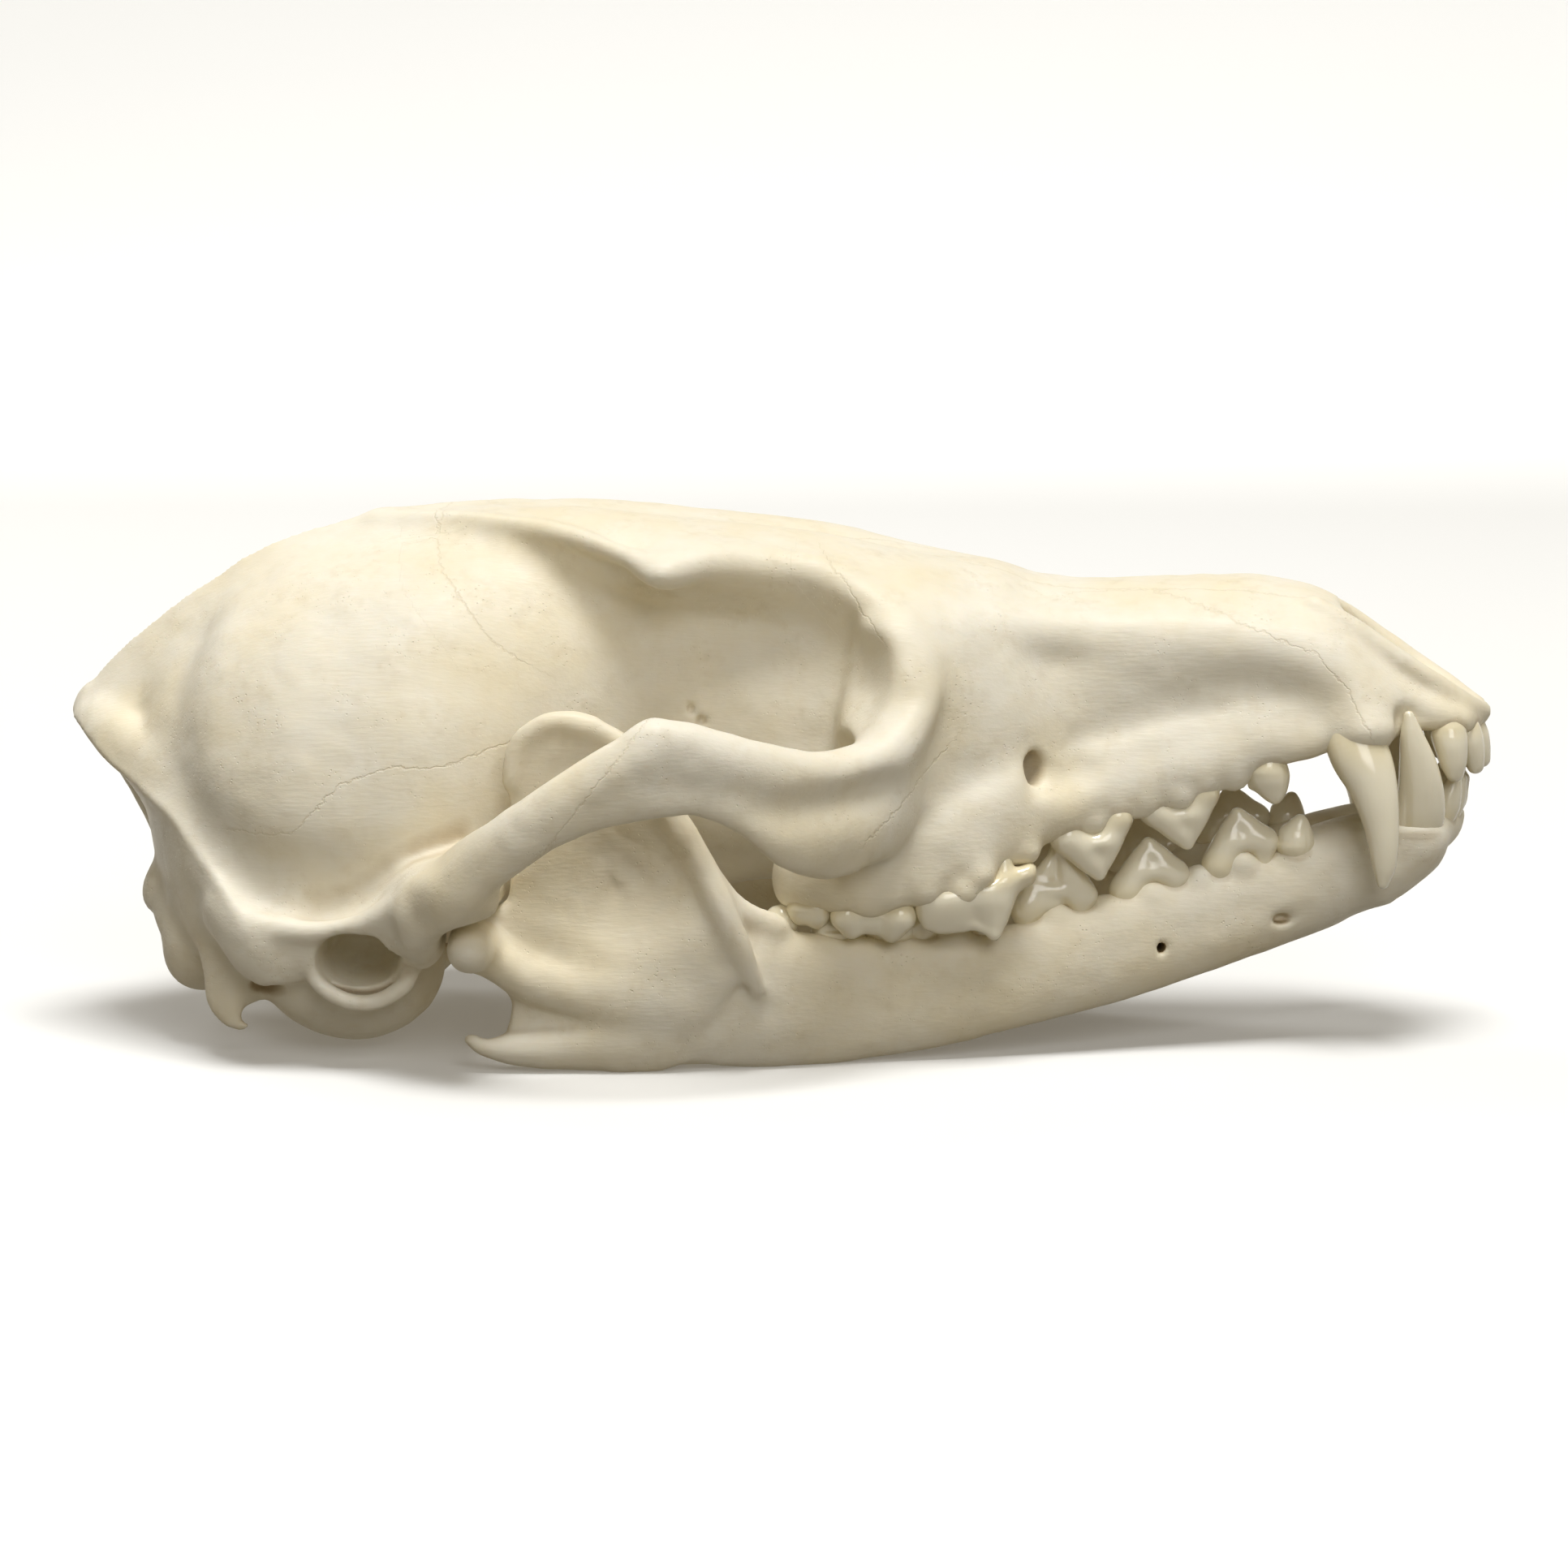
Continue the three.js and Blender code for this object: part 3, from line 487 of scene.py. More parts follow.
@dataclass
class Seam:
    """A line where two bones meet, drawn in a flat view on both sides of the head.

    It is drawn only from least_y to most_y away from the middle plane and above least_z, in mm.
    """

    points: Sequence[tuple[float, float]]
    view: View
    least_y: float = 0.0
    most_y: float = 60.0
    least_z: float = -10.0

    def offset(self, places: np.ndarray) -> np.ndarray:
        """Give the signed distance of places to the line, or the most that counts.

        Args:
            places: points in mm.

        Returns:
            Distances in mm, negative on one side of the line.
        """
        a, b = self.view.value
        flat = np.stack([places[:, a], np.abs(places[:, b]) if b == 1 else places[:, b]], axis=1)
        best = np.full(len(places), SEAM_FAR, dtype=np.float32)
        line = np.asarray(self.points, dtype=np.float32)
        for start, end in zip(line[:-1], line[1:]):
            way = end - start
            rel = flat - start
            t = np.clip(rel @ way / (way @ way), 0, 1)
            off = rel - t[:, None] * way
            gap = np.hypot(off[:, 0], off[:, 1])
            side = np.sign(way[0] * rel[:, 1] - way[1] * rel[:, 0])
            best = np.where(gap < np.abs(best), gap * np.where(side == 0, 1, side), best)
        wide = np.abs(places[:, 1])
        drawn = (wide >= self.least_y) & (wide <= self.most_y) & (places[:, 2] >= self.least_z)
        return np.where(drawn, best, SEAM_FAR)


def shape_mesh(
    name: str, points: np.ndarray, faces: np.ndarray, marks: dict[str, np.ndarray]
) -> bpy.types.Object:
    """Make a smooth object from points in mm.

    Args:
        name: the piece's name.
        points: its points in mm.
        faces: its faces, each the same number of point numbers.
        marks: values for each point that its finish reads.

    Returns:
        The new object, in the scene.
    """
    sides = faces.shape[1]
    corners = points[faces]
    normal = np.cross(corners[:, 1] - corners[:, 0], corners[:, 2] - corners[:, 0])
    if float((normal * corners[:, 0]).sum()) < 0:
        faces = faces[:, ::-1].copy()
    mesh = bpy.data.meshes.new(name)
    mesh.vertices.add(len(points))
    mesh.vertices.foreach_set("co", (points * MM).astype(np.float32).ravel())
    mesh.loops.add(faces.size)
    mesh.loops.foreach_set("vertex_index", faces.astype(np.int32).ravel())
    mesh.polygons.add(len(faces))
    mesh.polygons.foreach_set("loop_start", np.arange(0, faces.size, sides, dtype=np.int32))
    mesh.polygons.foreach_set("use_smooth", np.ones(len(faces), dtype=bool))
    mesh.update(calc_edges=True)
    mesh.validate()
    for mark, values in marks.items():
        kept = mesh.attributes.new(mark, "FLOAT", "POINT")
        kept.data.foreach_set("value", values.astype(np.float32))
    piece = bpy.data.objects.new(name, mesh)
    bpy.context.scene.collection.objects.link(piece)
    return piece


def point_normals(points: np.ndarray, clay: Clay) -> np.ndarray:
    """Work out which way the clay's surface faces.

    Args:
        points: places on it in mm.
        clay: the clay.

    Returns:
        The outward direction at each.
    """
    slope = np.empty_like(points)
    for k in range(3):
        off = np.zeros(3, dtype=np.float32)
        off[k] = clay.step
        slope[:, k] = clay.read(points + off) - clay.read(points - off)
    return slope / (np.linalg.norm(slope, axis=1, keepdims=True) + 1e-6)


def hollowness(
    points: np.ndarray, out: np.ndarray, clay: Clay, probes: Sequence[float]
) -> np.ndarray:
    """Work out how far down in a recess each point lies, much as ambient shade is worked out: the finishes
    darken by it, partly as grime and partly as painted shade.

    Args:
        points: places on the surface in mm.
        out: the outward direction at each.
        clay: the clay that they lie on.
        probes: how far out from the surface the clay is felt for, in mm.

    Returns:
        0 in the open to 1 deep in a hole.
    """
    return 1 - sum(np.clip(clay.read(points + out * d) / d, 0, 1) for d in probes) / len(probes)


def grime_shade_and_seams(
    points: np.ndarray, clay: Clay, seams: Sequence[Seam], necks: Sequence[Row]
) -> dict[str, np.ndarray]:
    """Work out where the bone lies in a recess, for its grime and painted shade, and where its seams run.

    Args:
        points: the surface's points in mm.
        clay: the clay that they lie on.
        seams: the lines between bones.
        necks: where the teeth of the left side leave the bone, as x, y, z and a radius.

    Returns:
        Values for grime and painted shade and for the seams, one for each point.
    """
    # How far down in a recess each point lies: painted shade, with grime, in the bone's finish
    hollow = hollowness(points, point_normals(points, clay), clay, (0.8, 1.8, 3.4, 5.2))
    seam = np.full(len(points), SEAM_FAR, dtype=np.float32)
    for line in seams:
        gap = line.offset(points)
        seam = np.where(np.abs(gap) < np.abs(seam), gap, seam)
    # A ring round each tooth gets grime and painted shade as a shallow recess does, fading out half a
    # radius off
    for x, y, z, r in necks:
        near = np.abs(points[:, 0] - x) < r + 4
        left = points[near] * (1, 0, 1) + np.abs(points[near]) * (0, 1, 0)
        gap = np.linalg.norm((left - (x, y, z)) / (r + 0.1, r, 1.1), axis=1)
        hollow[near] = np.maximum(hollow[near], 0.6 * np.clip(2.6 - 1.7 * gap, 0, 1))
    return {"hollow": hollow, "seam": seam}


def central(rows: Sequence[Row]) -> list[Row]:
    """Turn stations with a half breadth into stations on the middle plane."""
    return [(at, -half, half, *rest) for at, half, *rest in rows]


def level(rows: Sequence[Row]) -> list[Row]:
    """Set each station's widest level half way up."""
    return [(at, inner, outer, base, (base + top) / 2, top) for at, inner, outer, base, top in rows]


# Finishes


def linear(code: str) -> tuple[float, float, float, float]:
    """Turn an sRGB colour into a linear one.

    Args:
        code: the colour as #rrggbb.

    Returns:
        Its linear red, green and blue, and full alpha.
    """
    parts = [int(code[i : i + 2], 16) / 255 for i in (1, 3, 5)]
    made = [c / 12.92 if c <= 0.04045 else ((c + 0.055) / 1.055) ** 2.4 for c in parts]
    return (*made, 1.0)


def add_node(
    tree: bpy.types.NodeTree, kind: str, settings: dict | None = None, links: dict | None = None
) -> bpy.types.Node:
    """Add a shader node with its settings and its links.

    Args:
        tree: the material's node tree.
        kind: the node's type name.
        settings: properties by name, and socket values by name or number.
        links: output sockets by the name or number of the input that each goes to.

    Returns:
        The new node.
    """
    node = tree.nodes.new(kind)
    for key, value in (settings or {}).items():
        if isinstance(key, str) and hasattr(node, key) and key not in node.inputs:
            setattr(node, key, value)
        else:
            node.inputs[key].default_value = value
    for key, source in (links or {}).items():
        tree.links.new(source, node.inputs[key])
    return node


def ramp(
    tree: bpy.types.NodeTree, source: bpy.types.NodeSocket, stops: Sequence[tuple[float, str | float]]
) -> bpy.types.NodeSocket:
    """Map a value through colour or grey stops.

    Args:
        tree: the material's node tree.
        source: the value.
        stops: positions, each with a hex colour or a grey from 0 to 1.

    Returns:
        The mapped colour.
    """
    node = add_node(tree, "ShaderNodeValToRGB", links={"Fac": source})
    bar = node.color_ramp
    while len(bar.elements) < len(stops):
        bar.elements.new(0.5)
    for element, (place, tone) in zip(bar.elements, stops):
        element.position = place
        element.color = linear(tone) if isinstance(tone, str) else (tone, tone, tone, 1)
    return node.outputs["Color"]


@dataclass(frozen=True)
class CleanedBone:
    """Fox bone, degreased in warm water and bleached in peroxide, then left to dry.

    It gives the eye a satin ivory: pale where the bleach took, warm where fat stayed, brown in the hollows,
    partly grime that no brush reached and partly painted shade, with fine fibres, pores and the hairlines
    of the sutures.
    """

    pale: str = "#efe9d8"
    warm: str = "#ece1c4"
    # The two colours below darken the hollows: partly grime, partly painted shade
    hollow: str = "#a08450"
    deep_grime_and_shade: str = "#6e5a35"
    seam: str = "#c9b893"
    roughness: float = 0.5
    grain_mm: float = 0.35  # width of the fibres: real ones take about 0.1, drawn coarse enough to show
    pore_mm: float = 0.55  # distance between nutrient pores
    blotch_mm: float = 16.0  # size of the warmer patches
    patch_mm: float = 4.2  # size of the areas where the bone is open and porous
    freckle_mm: float = 1.3  # size of the yellowed freckles
    wander_mm: float = 1.5  # step of a suture's zigzag, and how far it strays
    fibre_rise: float = 0.05  # mm of relief, as are the three below
    patch_rise: float = 0.12
    pore_sink: float = 0.1
    seam_sink: float = 0.06

    def make(self, name: str = "bone_degreased_bleached") -> bpy.types.Material:
        """Build the material.

        Args:
            name: the material's name.

        Returns:
            The material.
        """
        made = bpy.data.materials.new(name)
        made.use_nodes = True
        tree = made.node_tree
        tree.nodes.clear()
        places = add_node(tree, "ShaderNodeTexCoord").outputs["Object"]
        hollow = add_node(tree, "ShaderNodeAttribute", {"attribute_name": "hollow"}).outputs["Fac"]
        to_seam = add_node(tree, "ShaderNodeAttribute", {"attribute_name": "seam"}).outputs["Fac"]
        blotch = add_node(
            tree, "ShaderNodeTexNoise",
            {"Scale": 1 / (self.blotch_mm * MM), "Detail": 5.0, "Roughness": 0.6}, {"Vector": places},
        ).outputs["Fac"]
        # Fibres run along the skull, so the grain is stretched about six times along x
        stretch = add_node(
            tree, "ShaderNodeVectorMath", {"operation": "MULTIPLY", 1: (0.16, 1.0, 1.0)}, {0: places}
        ).outputs["Vector"]
        grain = add_node(
            tree, "ShaderNodeTexNoise",
            {"Scale": 1 / (self.grain_mm * MM), "Detail": 3.0, "Roughness": 0.55}, {"Vector": stretch},
        ).outputs["Fac"]
        pores = add_node(
            tree, "ShaderNodeTexVoronoi",
            {"Scale": 1 / (self.pore_mm * MM), "Randomness": 1.0}, {"Vector": places},
        ).outputs["Distance"]
        solid = ramp(tree, pores, [(0.06, 0.0), (0.2, 1.0)])
        patch = add_node(
            tree, "ShaderNodeTexNoise",
            {"Scale": 1 / (self.patch_mm * MM), "Detail": 3.0}, {"Vector": places},
        ).outputs["Fac"]
        porous = ramp(tree, patch, [(0.5, 0.0), (0.66, 1.0)])
        # Warm and pale patches: fat leaves the bone unevenly when it is cleaned
        base = add_node(
            tree, "ShaderNodeMix", {"data_type": "RGBA", 6: linear(self.pale), 7: linear(self.warm)},
            {0: ramp(tree, blotch, [(0.38, 0.0), (0.66, 1.0)])},
        ).outputs[2]
        # Small yellowed freckles where the pores lie close together
        spots = add_node(
            tree, "ShaderNodeTexNoise",
            {"Scale": 1 / (self.freckle_mm * MM), "Detail": 4.0}, {"Vector": places},
        ).outputs["Fac"]
        spotted = add_node(tree, "ShaderNodeMath", {"operation": "MULTIPLY"}, {
            0: ramp(tree, spots, [(0.45, 0.0), (0.8, 0.3)]),
            1: ramp(tree, patch, [(0.42, 0.1), (0.62, 1.0)]),
        }).outputs[0]
        freckled = add_node(
            tree, "ShaderNodeMix", {"data_type": "RGBA", 7: linear(self.seam)}, {0: spotted, 6: base}
        ).outputs[2]
        # Brown that deepens into the hollows: grime and painted shade
        shaded = add_node(
            tree, "ShaderNodeMix", {"data_type": "RGBA", 7: linear(self.hollow)},
            {0: ramp(tree, hollow, [(0.38, 0.0), (0.9, 0.72)]), 6: freckled},
        ).outputs[2]
        # Darker still further in: more painted shade along with the grime
        deepened = add_node(
            tree, "ShaderNodeMix", {"data_type": "RGBA", 7: linear(self.deep_grime_and_shade)},
            {0: ramp(tree, hollow, [(0.74, 0.0), (0.98, 0.8)]), 6: shaded},
        ).outputs[2]
        # The suture between two bones wanders from side to side in small steps
        wander = add_node(
            tree, "ShaderNodeTexNoise",
            {"Scale": 1 / (self.wander_mm * MM), "Detail": 3.0, "Roughness": 0.7}, {"Vector": places},
        ).outputs["Fac"]
        shift = add_node(
            tree, "ShaderNodeMath",
            {"operation": "MULTIPLY_ADD", 1: self.wander_mm, 2: -self.wander_mm / 2}, {0: wander},
        ).outputs[0]
        moved = add_node(tree, "ShaderNodeMath", {"operation": "ADD"}, {0: to_seam, 1: shift}).outputs[0]
        gap = add_node(tree, "ShaderNodeMath", {"operation": "ABSOLUTE"}, {0: moved}).outputs[0]
        crack = ramp(tree, gap, [(0.0, 1.0), (0.16, 0.0)])
        faint = add_node(tree, "ShaderNodeMath", {"operation": "MULTIPLY", 1: 0.22}, {0: crack}).outputs[0]
        lined = add_node(
            tree, "ShaderNodeMix", {"data_type": "RGBA", 7: linear(self.seam)}, {0: faint, 6: deepened}
        ).outputs[2]
        # Height in mm: fibres, pores where the bone is open, the groove of the sutures, soft patches
        fibre = add_node(
            tree, "ShaderNodeMath", {"operation": "MULTIPLY", 1: self.fibre_rise}, {0: grain}
        ).outputs[0]
        soft = add_node(
            tree, "ShaderNodeMath", {"operation": "MULTIPLY", 1: self.patch_rise}, {0: patch}
        ).outputs[0]
        pit = add_node(tree, "ShaderNodeMath", {"operation": "SUBTRACT", 0: 1.0}, {1: solid}).outputs[0]
        pit = add_node(tree, "ShaderNodeMath", {"operation": "MULTIPLY"}, {0: pit, 1: porous}).outputs[0]
        pitted = add_node(
            tree, "ShaderNodeMath", {"operation": "MULTIPLY_ADD", 1: -self.pore_sink}, {0: pit, 2: fibre}
        ).outputs[0]
        cracked = add_node(
            tree, "ShaderNodeMath", {"operation": "MULTIPLY_ADD", 1: -self.seam_sink}, {0: crack, 2: pitted}
        ).outputs[0]
        height = add_node(tree, "ShaderNodeMath", {"operation": "ADD"}, {0: cracked, 1: soft}).outputs[0]
        bump = add_node(
            tree, "ShaderNodeBump", {"Strength": 0.7, "Distance": MM}, {"Height": height}
        ).outputs["Normal"]
        rough = ramp(tree, grain, [(0.3, self.roughness - 0.06), (0.7, self.roughness + 0.08)])
        shader = add_node(
            tree, "ShaderNodeBsdfPrincipled",
            {"IOR": 1.5, "Specular IOR Level": 0.4, "Subsurface Weight": 0.12,
             "Subsurface Radius": (1.0, 0.7, 0.4), "Subsurface Scale": 1.4 * MM},
            {"Base Color": lined, "Roughness": rough, "Normal": bump},
        )
        add_node(tree, "ShaderNodeOutputMaterial", links={"Surface": shader.outputs[0]})
        return made


@dataclass(frozen=True)
class ToothEnamel:
    """Grown tooth enamel over dentine, hard and polished by chewing.

    It gives the eye a wet-looking gloss with small sharp lights, milk white at the tips and yellower at the
    neck, where the enamel thins out, with brown in the crevices that is partly grime and partly painted
    shade.
    """

    crown: str = "#efe7ce"
    neck: str = "#e9ddba"
    crevice_grime_and_shade: str = "#b79f6c"
    roughness: float = 0.16
    cloud_mm: float = 2.5  # size of the uneven milky patches

    def make(self, name: str = "tooth_enamel") -> bpy.types.Material:
        """Build the material.

        Args:
            name: the material's name.

        Returns:
            The material.
        """
        made = bpy.data.materials.new(name)
        made.use_nodes = True
        tree = made.node_tree
        tree.nodes.clear()
        places = add_node(tree, "ShaderNodeTexCoord").outputs["Object"]
        neck = add_node(tree, "ShaderNodeAttribute", {"attribute_name": "neck"}).outputs["Fac"]
        hollow = add_node(tree, "ShaderNodeAttribute", {"attribute_name": "hollow"}).outputs["Fac"]
        cloud = add_node(
            tree, "ShaderNodeTexNoise",
            {"Scale": 1 / (self.cloud_mm * MM), "Detail": 4.0}, {"Vector": places},
        ).outputs["Fac"]
        uneven = add_node(
            tree, "ShaderNodeMath", {"operation": "MULTIPLY_ADD", 1: 0.3, 2: -0.15}, {0: cloud}
        ).outputs[0]
        down = add_node(tree, "ShaderNodeMath", {"operation": "ADD"}, {0: neck, 1: uneven}).outputs[0]
        base = add_node(
            tree, "ShaderNodeMix", {"data_type": "RGBA", 6: linear(self.crown), 7: linear(self.neck)},
            {0: ramp(tree, down, [(0.45, 0.0), (1.0, 0.9)])},
        ).outputs[2]
        # Crevices darkened: partly grime, partly painted shade
        stained_and_shaded = add_node(
            tree, "ShaderNodeMix", {"data_type": "RGBA", 7: linear(self.crevice_grime_and_shade)},
            {0: ramp(tree, hollow, [(0.45, 0.0), (0.95, 0.7)]), 6: base},
        ).outputs[2]
        bump = add_node(
            tree, "ShaderNodeBump", {"Strength": 0.12, "Distance": 0.3 * MM}, {"Height": cloud}
        ).outputs["Normal"]
        shader = add_node(
            tree, "ShaderNodeBsdfPrincipled",
            {"IOR": 1.62, "Roughness": self.roughness, "Subsurface Weight": 0.15,
             "Subsurface Radius": (1.0, 0.8, 0.55), "Subsurface Scale": 1.2 * MM},
            {"Base Color": stained_and_shaded, "Normal": bump},
        )
        add_node(tree, "ShaderNodeOutputMaterial", links={"Surface": shader.outputs[0]})
        return made


@dataclass(frozen=True)
class StudioPaper:
    """Uncoated white paper, rolled smooth, under and behind the skull.

    It gives the eye an even white with no sheen. It also gives off a little painted light of its own, with
    no lamp behind it, which lifts the whole paper, its shadows too, toward white.
    """

    tone: str = "#f0f0ee"
    roughness: float = 0.9
    painted_glow: float = 0.1

    def make(self) -> bpy.types.Material:
        """Build the material.

        Returns:
            The material.
        """
        made = bpy.data.materials.new("studio_paper_matte")
        made.use_nodes = True
        tree = made.node_tree
        tree.nodes.clear()
        # Painted light: the paper's emission brightens it evenly, shadows included
        shader = add_node(tree, "ShaderNodeBsdfPrincipled", {
            "Base Color": linear(self.tone), "Roughness": self.roughness,
            "Emission Color": linear(self.tone), "Emission Strength": self.painted_glow,
        })
        add_node(tree, "ShaderNodeOutputMaterial", links={"Surface": shader.outputs[0]})
        return made


# Cranium


@dataclass
class Cranium:
    """The upper skull: braincase, brow, eye sockets, cheekbone arches, snout, palate and ear capsules.

    Its sizes are in mm. The left half is worked and then mirrored.
    """

    step: float  # spacing of the clay's grid
    arch_half: float = 39.2  # half the breadth over the cheekbone arches
    case_half: float = 24.4  # half the breadth of the braincase
    crown_top: float = 55.8  # height of the brow over the ground
    nape_x: float = -73.6  # rearmost point of the nape
    clay: Clay = field(init=False)

    def __post_init__(self) -> None:
        """Lay out the clay for the left half."""
        self.clay = Clay((-78, 0, -1), (77, 42, 60), self.step)

    def braincase(self) -> None:
        """Build the dome of the brain and its base."""
        c = self.clay
        c.add(0.5, Loft(central([
            (-68.5, 4, 22, 27, 33), (-66, 11, 17, 26, 38), (-62, 17.8, 12.6, 25.5, 43),
            (-56, 22.6, 10.5, 25.5, 48), (-48, self.case_half, 10, 26.5, 51.4),
            (-40, self.case_half - 0.2, 11, 27.5, 53.2), (-32, 22.2, 13, 29, 54.2),
            (-25, 18.2, 15, 31.5, 54.6), (-19, 14.2, 17, 33.5, 54.4), (-14, 12, 18.5, 34.5, 53.6),
            (-6, 11.2, 19, 34.5, 52),
        ]), over=2.08, under=2.3, caps=(3.5, 3)))
        c.add(4, Loft(central([
            (-66, 6, 14, 19, 26), (-63, 12, 10, 18, 28), (-59.5, 18.5, 9.5, 16.5, 27),
            (-55, 22, 9.5, 15.5, 25), (-50, 22.3, 10, 15.5, 23), (-45, 20.5, 11, 15.5, 21),
        ]), over=2.3, under=2.6, caps=(2, 4)))
        c.add(3, Loft(central([
            (-60, 6, 7.8, 10, 14), (-55, 8.6, 8.4, 12, 18), (-46, 9, 9.6, 13, 20),
            (-36, 9.4, 11.6, 15, 22), (-26, 9, 13.6, 18, 26), (-16, 8, 15.8, 20, 26),
            (-8, 7.8, 17, 22, 28),
        ]), under=3, caps=(2, 3)))

    def nape(self) -> None:
        """Build the nape: crests, rear wall, condyles, mastoids and the long processes."""
        c = self.clay
        # Ridge along the top of the dome, a roof that sharpens to a crest
        c.add(3.5, Loft(central([
            (-73.8, 3, 27, 30.6, 35), (-71.2, 4.6, 28, 32.6, 38.7), (-66.2, 6, 31, 36, 43.2),
            (-61, 7, 34, 40, 47), (-56, 7, 38, 44, 50.4), (-50.6, 7, 42, 47, 52.7),
            (-44.6, 7, 44, 49, 54), (-38, 6, 46, 51, 54.7),
        ]), over=1.12, under=2, caps=(0.8, 5)))
        # Flare of thin bone round the rear of the dome
        c.add(6, Strand([
            (self.nape_x + 1, 0, 32.6, 1.7, 1.5, 2), (-71.4, 5, 30.8, 1.6, 1.5, 1.9),
            (-68.6, 9, 28.6, 1.6, 1.5, 1.9), (-65.4, 13, 26.4, 1.6, 1.5, 1.8),
            (-62.2, 17, 24.2, 1.6, 1.5, 1.8), (-59, 20.4, 21.4, 1.5, 1.4, 1.8),
            (-56.6, 22.2, 18.6, 1.4, 1.3, 1.7), (-54.6, 23.2, 15.8, 1.3, 1.2, 1.5),
            (-52.4, 23.4, 13.4, 1.3, 1.2, 1.4),
        ], fine=6))
        c.add(1.6, Lump((self.nape_x + 1.2, 0, 33.8), (1.6, 1.1, 2.5)))
        c.add(4, Loft(central([
            (-70.4, 3, 22, 27, 33), (-68, 9, 18, 24, 31), (-65, 13, 15.6, 21, 29), (-60, 17, 13, 19, 28),
        ]), caps=(2, 3)))
        c.add(4, Strand([(-71, 3.6, 33, 1.7), (-67.6, 7.6, 31.6, 2), (-63.6, 12, 29.6, 2.2)]))
        # Valley between the dome and the flare
        c.carve(8, Strand([
            (-62, 8.8, 43.4, 1.2), (-64.4, 13.4, 38.2, 1.6), (-63.8, 18, 31.8, 1.8),
            (-60.8, 21.8, 25.8, 1.8), (-54, 24.9, 20.8, 1.6), (-47, 26, 19, 1.1),
        ]))
        # The rear face of the skull: nearly flat on top, turning forward to the sides
        rear = [
            (-20, -62, 27), (8, -62.6, 26.4), (12, -64, 26), (16, -65.4, 25.4), (20, -66.3, 24.8),
            (24, -67, 24.8), (27.5, -69, 25.4), (30.2, -71.8, 27.5), (33, -74.2, 29), (37, -80, 31),
            (80, -92, 40),
        ]
        c.add(3, Lump((-62.4, 9, 17.6), (4.4, 4.4, 5.4)), Lump((-62.8, 0, 21), (5, 6.4, 5)))
        c.trim(
            0.5, Loft([(z, x, -100 - x, -half, 0, half) for z, x, half in rear], axis=Axis.Z),
            (-80, -1, -2), (-50.5, 30, 50),
        )
        c.add(1.8, Strand([
            (-71.4, 0, 31, 0.9), (-68.8, 0, 27, 1), (-66.4, 0, 22, 1), (-64.8, 0, 18.6, 0.9),
        ]))
        c.add(2.4, Lump((-64.9, 8, 16.4), (1.5, 2.4, 2.8), (0, 12, 20)))
        c.add(2, Lump((-63.4, 9.6, 13.8), (1.8, 2.2, 2.6)))
        # Condyles, each a bent roll beside the hole for the spine
        c.add(1.6, Strand([
            (-61.6, 10.8, 14.6, 1.5, 1.8, 1.8), (-62.2, 10.9, 11, 2, 2.1, 2.4),
            (-61.6, 9.6, 8.2, 2, 2.1, 2), (-59.6, 7.2, 6.9, 1.8, 2, 1.6),
            (-57.4, 5.4, 7.2, 1.5, 1.6, 1.4),
        ]))
        c.add(3, Lump((-58.4, 10.6, 11.4), (4, 4, 4.6)))
        # Mastoid and the process beside the ear capsule
        c.add(2.6, Strand([
            (-57.6, 15.4, 16.4, 3.6, 2.4, 2.4), (-56.4, 16.6, 12.6, 3.4, 1.8, 2.2),
            (-56.2, 17.2, 9.2, 2.9, 1.3, 2), (-56.6, 17.3, 6.4, 2.2, 1, 1.6),
            (-56.5, 17.2, 4.6, 1.3, 0.8, 1), (-55.6, 17, 3.5, 0.7, 0.6, 0.5),
            (-54.9, 16.9, 3.4, 0.45, 0.5, 0.4),
        ]))
        c.add(2.4, Lump((-54.2, 16.4, 9), (2.6, 1.7, 3.8)))
        c.add(2.8, Strand([
            (-56.2, 20.6, 15.6, 2, 1.7, 2.2), (-53.6, 22.2, 12, 2, 1.7, 2), (-51.9, 22, 10, 1.5, 1.2, 1.3),
        ]))
        c.carve(3, Strand([(-53.6, 24, 8.4, 1.3), (-54, 20, 7, 1.4), (-53.4, 17.4, 5.2, 1.1)]))

    def brow(self) -> None:
        """Build the flat frontal bones with their temple ridges and the points behind the eyes."""
        c = self.clay
        top = self.crown_top
        c.add(4.5, Loft(central([
            (-42, 2.6, 48, 52, 53.8), (-34, 5.6, 47, 52, 54.8), (-28, 8.6, 46.5, 52, top - 0.4),
            (-21, 11.8, 46, 51.6, top), (-15, 14, 45.5, 50.6, top - 0.2), (-10, 15.4, 45, 50.2, top - 0.7),
            (-4, 14.8, 44, 49.8, 54.5), (2, 13.8, 42, 49, 53.8), (8, 14.4, 38, 47.4, 52.7),
            (14, 14.4, 34, 45, 51.4), (20, 12.8, 32, 42, 50.1), (28, 10, 32, 40, 48.2),
        ]), over=2.45, under=2.2, caps=(5, 6)))
        c.add(3, Strand([
            (-42, 0.6, 53.6, 0.8), (-36, 3.2, 54.2, 0.8), (-29, 7.4, 54.4, 0.8), (-22, 11.6, 53.6, 0.8),
            (-17, 14.4, 52.4, 0.9), (-13.6, 16.6, 51.2, 1.1, 1, 0.9), (-12, 17.9, 50.2, 0.9, 0.8, 0.7),
        ]))
        c.add(2.2, Strand([
            (-8.6, 12.6, 51.6, 5, 2.6, 1.8), (-11, 15.4, 51.1, 3.6, 1.9, 1.4),
            (-12, 17.9, 50.3, 1.2, 0.9, 0.8),
        ]))
